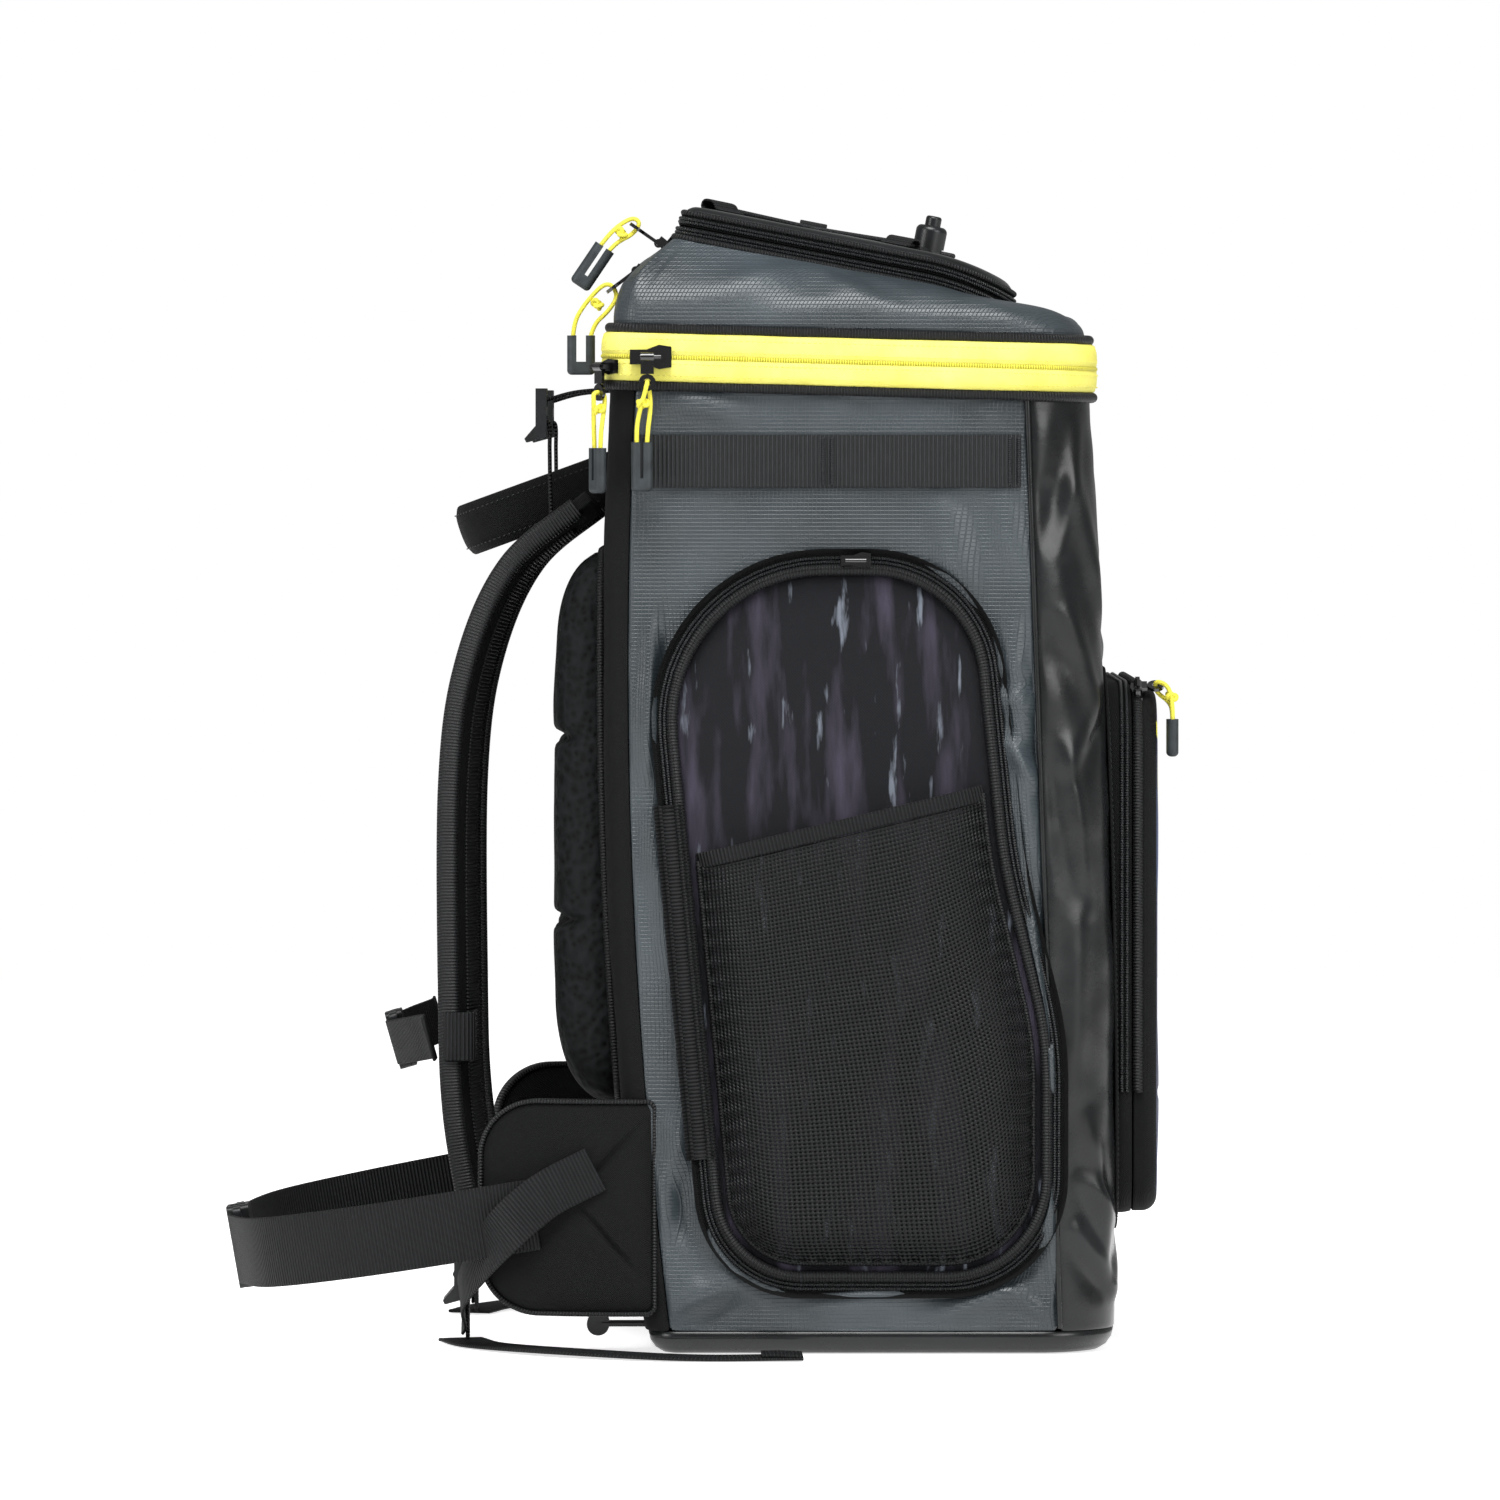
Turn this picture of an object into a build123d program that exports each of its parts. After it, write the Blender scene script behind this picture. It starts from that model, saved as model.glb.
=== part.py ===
"""Ski boot backpack: a tarpaulin sack with a zipped lid, two side doors for boots, a pouch and a harness.

Frame: +Z up, +Y towards the wearer's back, X across. The origin is the middle of the base. Sizes are in mm.
"""

import os
from math import atan, cos, radians, sin, tan

from build123d import *

os.makedirs("parts", exist_ok=True)

# ---------------------------------------------------------------- driving dimensions
body_width = 370
wall = 4
front_corner = 42
back_corner = 16
base_round = 12
base_seam = 12
mid_height = 300
front_base, front_mid, front_top = -128, -125, -112
back_base, back_mid, back_top = 120, 143, 138
back_at_rim = 139.2

rim_height = 526
rim_tilt = 1.5
rim_room = 20
band_half = 13
band_proud = 6
zip_gap = 0.6

seam_front_base, seam_front_top = -99, -80
seam_back_inset = 13

fit_gap = 0.4
web_thick = 1.8
web_wide = 38
web_mid = 28
web_slim = 25

half = body_width / 2


# ---------------------------------------------------------------- the sack
def tilted(y, z, angle):
    """Plane across the sack through (y, z), its own Y turned up by angle degrees towards the back."""
    turn = radians(angle)
    return Plane(origin=(0, y, z), x_dir=(1, 0, 0), z_dir=(0, -sin(turn), cos(turn)))


rim = tilted(0, rim_height, rim_tilt)


def sack_block(inset):
    """The sack's outer form, or the same form inset from it (a negative inset stands proud)."""
    top = rim_height + rim_room
    with BuildPart() as block:
        with BuildSketch(Plane.YZ):
            with BuildLine():
                Line((front_base, 0), (back_base, 0))
                ThreePointArc((back_base, 0), (back_mid, mid_height), (back_top, top))
                Line((back_top, top), (front_top, top))
                ThreePointArc((front_top, top), (front_mid, mid_height), (front_base, 0))
            make_face()
            if inset:
                offset(amount=-inset, kind=Kind.INTERSECTION)
        extrude(amount=half - inset, both=True)
        uprights = block.edges().sort_by(SortBy.LENGTH)[-4:]
        fillet(uprights.sort_by(Axis.Y)[:2], front_corner - inset)
        uprights = block.edges().filter_by(lambda edge: edge.length > rim_height - 60).sort_by(Axis.Y)
        fillet(uprights[-2:], back_corner - inset)
        fillet(block.faces().sort_by(Axis.Z)[0].edges(), base_round - inset)
    return block.part


outer_block = sack_block(0)
inner_block = sack_block(wall)
proud_block = sack_block(-band_proud)

with BuildPart() as sack:
    add(outer_block)
    add(inner_block, mode=Mode.SUBTRACT)
    split(bisect_by=rim.offset(-band_half), keep=Keep.BOTTOM)


def seam_plane(base_y, top_y):
    """Upright seam plane that leans from base_y at the floor to top_y at the rim; its normal looks forward."""
    lean = atan((top_y - base_y) / rim_height)
    return Plane(origin=(0, base_y, 0), x_dir=(1, 0, 0), z_dir=(0, -cos(lean), sin(lean)))


front_seam = seam_plane(seam_front_base, seam_front_top)
back_seam = seam_plane(back_base - seam_back_inset, back_top - seam_back_inset)
base_plane = Plane.XY.offset(base_seam)

with BuildPart() as base_panel:
    add(sack.part)
    split(bisect_by=base_plane, keep=Keep.BOTTOM)

with BuildPart() as front_panel:
    add(sack.part)
    split(bisect_by=base_plane, keep=Keep.TOP)
    split(bisect_by=front_seam, keep=Keep.TOP)

with BuildPart() as back_panel:
    add(sack.part)
    split(bisect_by=base_plane, keep=Keep.TOP)
    split(bisect_by=back_seam, keep=Keep.BOTTOM)

# ---------------------------------------------------------------- side doors
hinge_foot, hinge_head = (86, 108), (103, 290)
door_crown, door_sole = rim_height - 110, 42
hinge_slope = (hinge_head[0] - hinge_foot[0]) / (hinge_head[1] - hinge_foot[1])
door_corners = (
    (hinge_foot[0] + hinge_slope * (door_sole - hinge_foot[1]), door_sole),
    (hinge_foot[0] + hinge_slope * (door_crown - hinge_foot[1]), door_crown),
    (-52, door_crown),
    (-68, 262),
    (-91, 168),
    (-91, door_sole),
)
door_rounds = (45, 80, 60, 300, 200, 52)
door_tape = 11
tape_thick = 1.5
door_gap = 1.0


def door_face(grow):
    """Teardrop of a side door, grown or shrunk, with its straight hinge edge towards the back."""
    with BuildSketch() as teardrop:
        with BuildLine():
            Polyline(*door_corners, close=True)
        make_face()
        for corner, radius in zip(door_corners, door_rounds):
            fillet(teardrop.vertices().sort_by_distance(corner)[0], radius)
        if grow:
            offset(amount=grow)
    return teardrop.sketch


side_inner = Plane.YZ.offset(-(half - wall))
side_outer = Plane.YZ.offset(-half)


def left_of(thing):
    """The half of a part on the wearer's left."""
    with BuildPart() as part_left:
        add(thing)
        split(bisect_by=Plane.YZ, keep=Keep.BOTTOM)
    return part_left.part


with BuildPart() as side_panel_left:
    add(left_of(sack.part))
    split(bisect_by=base_plane, keep=Keep.TOP)
    split(bisect_by=front_seam, keep=Keep.BOTTOM)
    split(bisect_by=back_seam, keep=Keep.TOP)
    with BuildSketch(side_inner.offset(1)):
        add(door_face(0))
    extrude(amount=-(wall + 2), mode=Mode.SUBTRACT)

with BuildPart() as door_left:
    with BuildSketch(side_inner):
        add(door_face(-door_gap))
    extrude(amount=-wall)

with BuildPart() as door_tape_left:
    with BuildSketch(side_outer):
        add(door_face(door_tape))
        add(door_face(0), mode=Mode.SUBTRACT)
    extrude(amount=-tape_thick)

# mesh pocket on the lower part of the door, open along its sloping hem
pocket_deep = 15
pocket_edge = 7
pocket_skin = 1.6
pocket_round = 7
pocket_shoulder = 9
hem_back, hem_front = (94, 262), (-60, 299)
hem_tall = 8


def below_hem(grow, lift):
    """The door's teardrop grown by grow, cut off along the pocket's hem line raised by lift."""
    slope = (hem_front[1] - hem_back[1]) / (hem_front[0] - hem_back[0])
    reach = 60
    with BuildSketch() as lower:
        add(door_face(grow))
        with BuildLine():
            Polyline(
                (hem_back[0] + reach, hem_back[1] + lift + reach * slope),
                (hem_front[0] - reach, hem_front[1] + lift - reach * slope),
                (hem_front[0] - reach, 0),
                (hem_back[0] + reach, 0),
                close=True,
            )
        make_face(mode=Mode.INTERSECT)
    return lower.sketch


def pocket_block(inset, lift):
    """The pocket's outer form, full at the hem and drawn in over its outer edge, or that form inset."""
    with BuildPart() as block:
        for deep, edge in (
            (0, pocket_edge),
            (pocket_shoulder, pocket_edge + 1),
            (pocket_deep - inset, pocket_edge + pocket_round),
        ):
            with BuildSketch(side_outer.offset(-deep)):
                add(below_hem(-edge - inset, lift))
        loft(ruled=True)
    return block.part


with BuildPart() as mesh_pocket_left:
    add(pocket_block(0, 0))
    add(pocket_block(pocket_skin, hem_tall), mode=Mode.SUBTRACT)

# ---------------------------------------------------------------- inside the sack
frame_thick = 2
divider_thick = 3
bay_wide = 112
bay_tall = rim_height - 96
frame_head_gap = 12
frame_side_gap = 22

with BuildPart() as frame_sheet:
    add(inner_block)
    add(sack_block(wall + frame_thick), mode=Mode.SUBTRACT)
    split(bisect_by=back_seam, keep=Keep.BOTTOM)
    split(bisect_by=base_plane, keep=Keep.TOP)
    split(bisect_by=rim.offset(-band_half - frame_head_gap), keep=Keep.BOTTOM)
    split(bisect_by=Plane.YZ.offset(half - frame_side_gap), keep=Keep.BOTTOM)
    split(bisect_by=Plane.YZ.offset(-(half - frame_side_gap)), keep=Keep.TOP)

bay_side = half - wall - bay_wide
with BuildPart() as boot_dividers:
    with BuildSketch(Plane.XZ):
        with BuildLine():
            Polyline(
                (-bay_side, 0),
                (-bay_side, bay_tall),
                (-half, bay_tall),
                (-half, bay_tall - divider_thick),
                (-bay_side - divider_thick, bay_tall - divider_thick),
                (-bay_side - divider_thick, 0),
                close=True,
            )
        make_face()
    extrude(amount=200, both=True)
    add(sack_block(wall + frame_thick), mode=Mode.INTERSECT)
    mirror(about=Plane.YZ)

# ---------------------------------------------------------------- zip band and lid
def band(low, high):
    """Ring of the proud yellow zip band between two heights above the rim plane."""
    with BuildPart() as ring:
        add(proud_block)
        add(inner_block, mode=Mode.SUBTRACT)
        split(bisect_by=rim.offset(low), keep=Keep.TOP)
        split(bisect_by=rim.offset(high), keep=Keep.BOTTOM)
    return ring.part


with BuildPart() as zip_band_lower:
    add(band(-band_half, -zip_gap / 2))

with BuildPart() as zip_band_upper:
    add(band(zip_gap / 2, band_half))

eave_rise, eave_tilt = 5, 4
crown_y, crown_rise, crown_tilt = 14, 51, 11
eave = tilted(0, rim_height + band_half + eave_rise, eave_tilt)
crown = tilted(crown_y, rim_height + crown_rise, crown_tilt)
crown_half = 150
crown_front, crown_back = -91, 92
crown_front_radius, crown_back_radius = 40, 10
lid_skin = 3
lining_thick, lining_lift, lining_front = 1.5, 0.5, 7


def plan_face(half_width, front, back, front_radius, back_radius):
    """Rounded rectangle with its own corner radii at the front and the back."""
    with BuildSketch() as plan:
        with Locations((0, (front + back) / 2)):
            Rectangle(2 * half_width, back - front)
        fillet(plan.vertices().sort_by(Axis.Y)[:2], front_radius)
        fillet(plan.vertices().sort_by(Axis.Y)[-2:], back_radius)
    return plan.sketch


def crown_face(inset):
    """Outline of the lid's flap, or the same outline inset from it."""
    return plan_face(
        crown_half - inset,
        crown_front + inset,
        crown_back - inset,
        crown_front_radius - inset,
        crown_back_radius - inset,
    )


def lid_block(inset):
    """The lid from the zip band up to the flap's edge, or the same form inset from it."""
    with BuildPart() as block:
        for place, width, front, back in (
            (rim.offset(band_half), half, front_top, back_top),
            (eave, half - 1, front_top + 2, back_top),
        ):
            with BuildSketch(place):
                rounds = front_corner - inset, back_corner - inset
                add(plan_face(width - inset, front + inset, back - inset, *rounds))
        with BuildSketch(crown):
            add(crown_face(inset))
        loft(ruled=True)
    return block.part


with BuildPart() as lid_shell:
    add(lid_block(0))
    add(lid_block(lid_skin), mode=Mode.SUBTRACT)

with BuildPart() as lid_lining:
    with BuildSketch(rim.offset(band_half + lining_lift)):
        add(
            plan_face(
                half - lid_skin - zip_gap,
                front_top + lid_skin + lining_front,
                back_top - lid_skin - zip_gap,
                front_corner - lid_skin,
                back_corner - lid_skin,
            )
        )
    extrude(amount=lining_thick)

flap_zip_tall = 5
flap_tall = 11
flap_skin = 3
flap_gap = 0.4
flap_round = 8
crown_axis = Axis(crown.origin, crown.z_dir)

with BuildPart() as flap_zip:
    with BuildSketch(crown):
        add(crown_face(-1))
        add(crown_face(lid_skin), mode=Mode.SUBTRACT)
    extrude(amount=flap_zip_tall)

flap_foot = flap_zip_tall + flap_gap
flap_top = flap_foot + flap_tall


def flap_dome(inset):
    """The flap's block above the flap zip, with its upper edges rounded over."""
    with BuildPart() as dome:
        with BuildSketch(crown.offset(flap_foot)):
            add(crown_face(inset))
        extrude(amount=flap_tall - inset)
        fillet(dome.faces().sort_by(crown_axis)[-1].edges(), flap_round - inset)
    return dome.part


with BuildPart() as lid_flap:
    add(flap_dome(0))
    add(flap_dome(flap_skin), mode=Mode.SUBTRACT)

# ---------------------------------------------------------------- bungee and cord lock on the flap
cord = 3.0
bungee_lift = flap_top + cord / 2 + 1.8
tab_wide, tab_long, tab_thick = 15, 22, 1.2
tab_back, tab_mid, tab_front = (-76, 72), (-9, 22), (-80, -26)
lock_place = (0, -42)
lock_radius = 8.5
lock_tall = 17
lock_bore = 4.6
lock_slot = 5.2
button_tall = 5
button_travel = 3


def eased(points):
    """Corner radii of a route: 0.45 of the shorter run beside a corner over the tangent of half its turn."""
    radii = []
    for before, here, after in zip(points, points[1:], points[2:]):
        run_in, run_out = Vector(*here) - Vector(*before), Vector(*after) - Vector(*here)
        turn = radians(run_in.get_angle(run_out))
        radii.append(0.45 * min(run_in.length, run_out.length) / tan(turn / 2))
    return radii


def cord_tube(points, diameter):
    """Round cord along straight runs joined by tangent arcs."""
    with BuildPart() as tube:
        with BuildLine() as route:
            FilletPolyline(*points, radius=eased(points))
        with BuildSketch(Plane(origin=route.line @ 0, z_dir=route.line % 0)):
            Circle(diameter / 2)
        sweep()
    return tube.part


def on_flap(x, y, lift):
    """Point over the flap, measured in the crown plane."""
    return tuple(crown.from_local_coords(Vector(x, y, lift)))


bungee_half = [
    tab_back,
    (-45, 50),
    (-12, 24),
    (-14, 16),
    (-48, -8),
    (tab_front[0] + 2, tab_front[1] + 2),
    (tab_front[0] + 6, tab_front[1] - 8),
    (-42, -36),
    (-2.2, -40),
    (-3.4, -56),
]
bungee_route = [on_flap(x, y, bungee_lift) for x, y in bungee_half]
bungee_route += [on_flap(-x, y, bungee_lift) for x, y in reversed(bungee_half)]

with BuildPart() as bungee:
    add(cord_tube(bungee_route, cord))

with BuildPart() as bungee_tabs:
    seat = crown.offset(flap_top)
    for x, y, turn in ((*tab_back, 30), (*tab_mid, 0), (*tab_front, -20)):
        tunnel = cord + 1.2
        floor_lift = bungee_lift - flap_top - tunnel / 2 - tab_thick
        for side in (1, -1):
            with BuildSketch(seat.offset(floor_lift)):
                with Locations(Location((side * x, y), side * turn)):
                    Rectangle(tab_long, tab_wide)
            extrude(amount=tunnel + 2 * tab_thick)
            with BuildSketch(seat.offset(floor_lift + tab_thick)):
                with Locations(Location((side * x, y), side * turn)):
                    with Locations((side * 3, 0)):
                        Rectangle(tab_long - 8, tab_wide + 2)
            extrude(amount=tunnel, mode=Mode.SUBTRACT)

with BuildPart() as cord_lock:
    lock_plane = crown.offset(flap_top + fit_gap)
    with BuildSketch(lock_plane):
        with Locations(lock_place):
            Circle(lock_radius)
    extrude(amount=lock_tall)
    fillet(cord_lock.edges().filter_by(GeomType.CIRCLE), 3)
    with BuildSketch(lock_plane.offset(3)):
        with Locations(lock_place):
            Circle(lock_bore)
    extrude(amount=lock_tall, mode=Mode.SUBTRACT)
    with BuildSketch(Plane(origin=on_flap(*lock_place, bungee_lift), x_dir=(1, 0, 0), z_dir=crown.y_dir)):
        SlotOverall(2 * lock_slot, cord + 1)
    extrude(amount=lock_radius + 1, both=True, mode=Mode.SUBTRACT)

with BuildPart() as cord_lock_button:
    with BuildSketch(lock_plane.offset(3 + button_travel + fit_gap)):
        with Locations(lock_place):
            Circle(lock_bore - 0.3)
    extrude(amount=lock_tall - 3 + button_tall - button_travel)
    fillet(cord_lock_button.faces().sort_by(crown_axis)[-1].edges(), 1.5)
    slot_middle = on_flap(*lock_place, bungee_lift + button_travel / 2)
    with BuildSketch(Plane(origin=slot_middle, x_dir=(1, 0, 0), z_dir=crown.y_dir)):
        Rectangle(2 * lock_radius, cord + 1.4 + button_travel)
    extrude(amount=lock_radius, both=True, mode=Mode.SUBTRACT)

# ---------------------------------------------------------------- front pouch
pouch_half = 140
pouch_low, pouch_high = 72, 354
pouch_face_y = -152
pouch_skin = 2.5
pouch_zip_y = -137
pouch_hinge = 134
pouch_top_round, pouch_low_round = 38, 24
flange_wide, flange_thick = 9, 1.6
pouch_back_y = -90


def pouch_outline(inset):
    """Front view of the pouch, with rounder corners at the top."""
    with BuildSketch() as front:
        with Locations((0, (pouch_low + pouch_high) / 2)):
            Rectangle(2 * (pouch_half - inset), pouch_high - pouch_low - 2 * inset)
        fillet(front.vertices().sort_by(Axis.Y)[:2], pouch_low_round - inset)
        fillet(front.vertices().sort_by(Axis.Y)[-2:], pouch_top_round - inset)
    return front.sketch


with BuildPart() as pouch:
    with BuildSketch(Plane.XZ.offset(-pouch_back_y)):
        add(pouch_outline(0))
    extrude(amount=pouch_back_y - pouch_face_y)
    fillet(pouch.faces().sort_by(Axis.Y)[0].edges(), 6)
    with BuildSketch(Plane.XZ.offset(-pouch_back_y)):
        add(pouch_outline(pouch_skin))
    extrude(amount=pouch_back_y - pouch_face_y - pouch_skin, mode=Mode.SUBTRACT)
    add(outer_block, mode=Mode.SUBTRACT)

zip_plane = Plane.XZ.offset(-pouch_zip_y)
fold_plane = Plane.XY.offset(pouch_hinge)

with BuildPart() as pouch_gusset:
    add(pouch.part)
    split(bisect_by=zip_plane, keep=Keep.BOTTOM)
    with BuildPart(mode=Mode.PRIVATE) as lower_pocket:
        add(pouch.part)
        split(bisect_by=zip_plane, keep=Keep.TOP)
        split(bisect_by=fold_plane.offset(-fit_gap), keep=Keep.BOTTOM)
    add(lower_pocket.part)
    with BuildPart(mode=Mode.PRIVATE) as flange:
        with BuildSketch(Plane.XZ.offset(-pouch_back_y)):
            add(pouch_outline(-flange_wide))
            add(pouch_outline(pouch_skin / 2), mode=Mode.SUBTRACT)
        extrude(amount=pouch_back_y - pouch_face_y)
        add(sack_block(-flange_thick), mode=Mode.INTERSECT)
        add(outer_block, mode=Mode.SUBTRACT)
    add(flange.part)

with BuildPart() as pouch_face:
    add(pouch.part)
    split(bisect_by=zip_plane.offset(zip_gap), keep=Keep.TOP)
    split(bisect_by=fold_plane, keep=Keep.TOP)

# zip tapes of both doors and of the pouch
with BuildPart() as pouch_tape:
    with BuildSketch(Plane.XZ.offset(-pouch_zip_y - 6)):
        add(pouch_outline(-tape_thick))
        add(pouch_outline(0), mode=Mode.SUBTRACT)
    extrude(amount=6)
    split(bisect_by=fold_plane, keep=Keep.TOP)

with BuildPart() as panel_zips:
    add(door_tape_left.part)
    mirror(door_tape_left.part, about=Plane.YZ)
    add(pouch_tape.part)

# ---------------------------------------------------------------- side webbing and back padding
daisy_height = rim_height - 52
daisy_middle, daisy_long = 25, 205
tack_spots, tack_long = (-74, 25, 124), 6
with BuildPart() as side_webbing:
    with BuildSketch(side_outer):
        with Locations((daisy_middle, daisy_height)):
            Rectangle(daisy_long, web_mid)
    extrude(amount=-web_thick)
    with Locations(*[(-half - web_thick, y, daisy_height) for y in tack_spots]):
        Box(2 * tape_thick, tack_long, web_mid)
    mirror(about=Plane.YZ)

pad_back_y = 172
pad_low, pad_high = 128, 425
pad_wide, pad_middle = 118, 74
pad_corner, pad_round = 26, 9

with BuildPart() as back_pad:
    with BuildSketch(Plane.XZ.offset(-pad_back_y)):
        with Locations(*[(side * pad_middle, (pad_low + pad_high) / 2) for side in (1, -1)]):
            RectangleRounded(pad_wide, pad_high - pad_low, pad_corner)
    extrude(amount=pad_back_y - back_base)
    fillet(back_pad.faces().filter_by(Axis.Y).sort_by(Axis.Y)[-2:].edges(), pad_round)
    add(outer_block, mode=Mode.SUBTRACT)

# ---------------------------------------------------------------- grab handle
handle_root, handle_reach, handle_half = rim_height - 60, 86, 55
handle_thick, handle_wide = 9, 28
handle_droop, handle_bend, handle_sunk = 20, 26, 20
handle_plane = tilted(back_top, handle_root, -handle_droop)

with BuildPart() as grab_handle:
    with BuildSketch(handle_plane.offset(-handle_wide / 2)):
        with BuildLine():
            FilletPolyline(
                (-handle_half, -handle_sunk),
                (-handle_half, handle_reach),
                (handle_half, handle_reach),
                (handle_half, -handle_sunk),
                radius=handle_bend,
            )
            offset(amount=handle_thick / 2, side=Side.BOTH, closed=True)
        make_face()
    extrude(amount=handle_wide)
    add(outer_block, mode=Mode.SUBTRACT)

# ---------------------------------------------------------------- shoulder straps and their webbing
strap_middle, strap_wide, strap_thick = 95, 62, 13
strap_head = rim_height - 74
strap_route = [(150, strap_head), (190, strap_head - 34), (213, 366), (222, 300)]
strap_route += [(222, 180), (220, 128), (214, 88), (207, 56)]
strap_edge = 4


def ribbon(place, points, wide, thick, edge_round):
    """Flat strap whose middle follows points in a plane, with its width along the plane's normal."""
    with BuildPart() as strap:
        with BuildLine(place) as route:
            Spline(*points)
        with BuildSketch(Plane(origin=route.line @ 0, x_dir=place.z_dir, z_dir=route.line % 0)):
            if edge_round:
                RectangleRounded(wide, thick, edge_round)
            else:
                Rectangle(wide, thick)
        sweep()
    return strap.part


def webbing(points, wide, middle, radius):
    """Webbing of a given width whose edge follows straight runs with rounded bends in the side view."""
    with BuildPart() as strap:
        with BuildSketch(Plane.YZ.offset(middle - wide / 2)):
            with BuildLine():
                FilletPolyline(*points, radius=radius)
                offset(amount=web_thick / 2, side=Side.BOTH, closed=True)
            make_face()
        extrude(amount=wide)
    return strap.part


with BuildPart() as shoulder_strap_left:
    add(ribbon(Plane.YZ.offset(-strap_middle), strap_route, strap_wide, strap_thick, strap_edge))
    add(outer_block, mode=Mode.SUBTRACT)

lifter_lock = (178, rim_height - 27)
lower_lock = (222, 36)
lock_long, lock_wide, lock_thick = 28, 34, 6
lock_slot_long, lock_lip = 5.5, 6
upper_slot, lower_slot = -7, 3.5


def ladder_lock(y, z):
    """Moulded ladder lock standing across the strap: a frame, two slots, a crossbar and a lip to tip it open."""
    place = Plane(origin=(-strap_middle, y, z), x_dir=(1, 0, 0), z_dir=(0, 1, 0))
    end, deep = lock_long / 2, lock_thick / 2
    with BuildPart() as lock:
        with BuildSketch(Plane(origin=place.origin, x_dir=place.y_dir, z_dir=place.x_dir)):
            with BuildLine():
                Polyline(
                    (-end, -deep),
                    (-end, deep),
                    (end - lock_lip - 2, deep),
                    (end - 1, deep + lock_lip),
                    (end + 1, deep + lock_lip - 1),
                    (end - 2, -deep),
                    close=True,
                )
            make_face()
        extrude(amount=lock_wide / 2, both=True)
        with BuildSketch(place.offset(-lock_thick)):
            with Locations((0, upper_slot), (0, lower_slot)):
                Rectangle(web_slim + 2 * fit_gap, lock_slot_long)
        extrude(amount=2 * lock_thick, mode=Mode.SUBTRACT)
    return lock.part


with BuildPart() as ladder_locks:
    add(ladder_lock(*lifter_lock))
    add(ladder_lock(*lower_lock))
    mirror(about=Plane.YZ)

# ---------------------------------------------------------------- hip wings
wing_route = [(-181, 108), (-184, 135), (-179, 170), (-163, 206), (-157, 214)]
wing_thick, wing_low, wing_high, wing_round = 12, 22, 134, 30
wing_end = wing_route[-2][1] + 2
wing_reach, wing_edge = 160, 3


def wing_block(grow):
    """Left hip wing: a padded plate that curves forward round the wearer, grown by a clearance."""
    tall = wing_high - wing_low + 2 * grow
    with BuildPart() as wing:
        level = Plane.XY.offset((wing_low + wing_high) / 2)
        add(ribbon(level, wing_route, tall, wing_thick + 2 * grow, wing_edge))
        with BuildSketch(Plane.YZ):
            with Locations((wing_end + grow - wing_reach / 2, (wing_low + wing_high) / 2)):
                RectangleRounded(wing_reach, tall, wing_round)
        extrude(amount=body_width, both=True, mode=Mode.INTERSECT)
    return wing.part


with BuildPart() as hip_wings:
    add(wing_block(0))
    add(outer_block, mode=Mode.SUBTRACT)
    mirror(about=Plane.YZ)

# ---------------------------------------------------------------- webbing of the lifters and the lower adjusters
lifter_root, lifter_sag, lifter_foot = rim_height - 12, (160, rim_height - 15), strap_head - 14
lifter_run = [(back_top - 8, lifter_root), lifter_sag, (lifter_lock[0], lifter_lock[1] - upper_slot)]
drop_y = lifter_lock[0] - lock_thick / 2 - web_thick / 2 - fit_gap
drop_head = lifter_lock[1] - lower_slot
lifter_drop = [(lifter_lock[0], drop_head), (drop_y, drop_head - 1), (drop_y, lifter_foot)]
adjuster_sections = (
    ((-183, 158, 94), (0, 0.55, 0.83), (0.3, 0.8, -0.52)),
    ((-160, 196, 64), (0.45, 0.35, 0.82), (0.6, 0.55, -0.58)),
    ((-124, 214, 34), (0.82, 0.1, 0.56), (0.6, 0.3, -0.74)),
    ((-104, 217, 14), (1, 0, 0), (0.25, 0.1, -0.96)),
)
tail_route = [(-95, 222), (-140, 206), (-192, 160), (-218, 98), (-217, 38)]

with BuildPart() as harness_webbing:
    add(webbing(lifter_run, web_slim, -strap_middle, 12))
    add(webbing(lifter_drop, web_slim, -strap_middle, 2))
    for place, across_dir, along_dir in adjuster_sections:
        with BuildSketch(Plane(origin=place, x_dir=across_dir, z_dir=along_dir)):
            Rectangle(web_slim, web_thick)
    loft()
    with BuildLine(Plane.XY.offset(web_thick / 2)) as tail:
        Spline(*tail_route)
    with BuildSketch(Plane(origin=tail.line @ 0, x_dir=(0, 0, 1), z_dir=tail.line % 0)):
        Rectangle(web_thick, web_slim)
    sweep()
    with Locations((-strap_middle, lower_lock[0] - lock_thick / 2 - web_thick, lower_lock[1] / 2)):
        Box(web_slim, web_thick, lower_lock[1])
    add(outer_block, mode=Mode.SUBTRACT)
    add(hip_wings.part, mode=Mode.SUBTRACT)
    add(shoulder_strap_left.part, mode=Mode.SUBTRACT)
    add(ladder_locks.part, mode=Mode.SUBTRACT)
    mirror(about=Plane.YZ)

# ---------------------------------------------------------------- belts and their side-release buckles
prong_reach = 0.52
buckle_rail, buckle_skin, buckle_tail = 3, 1.8, 10
socket_web, bar_thick, bar_slot = 8, 4, 5
tongue_long = 14
catch_long, catch_step = 6, 4


def buckle_wide(web):
    """Width of a buckle for webbing of a given width."""
    return web + 2 * buckle_rail + 1


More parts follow.
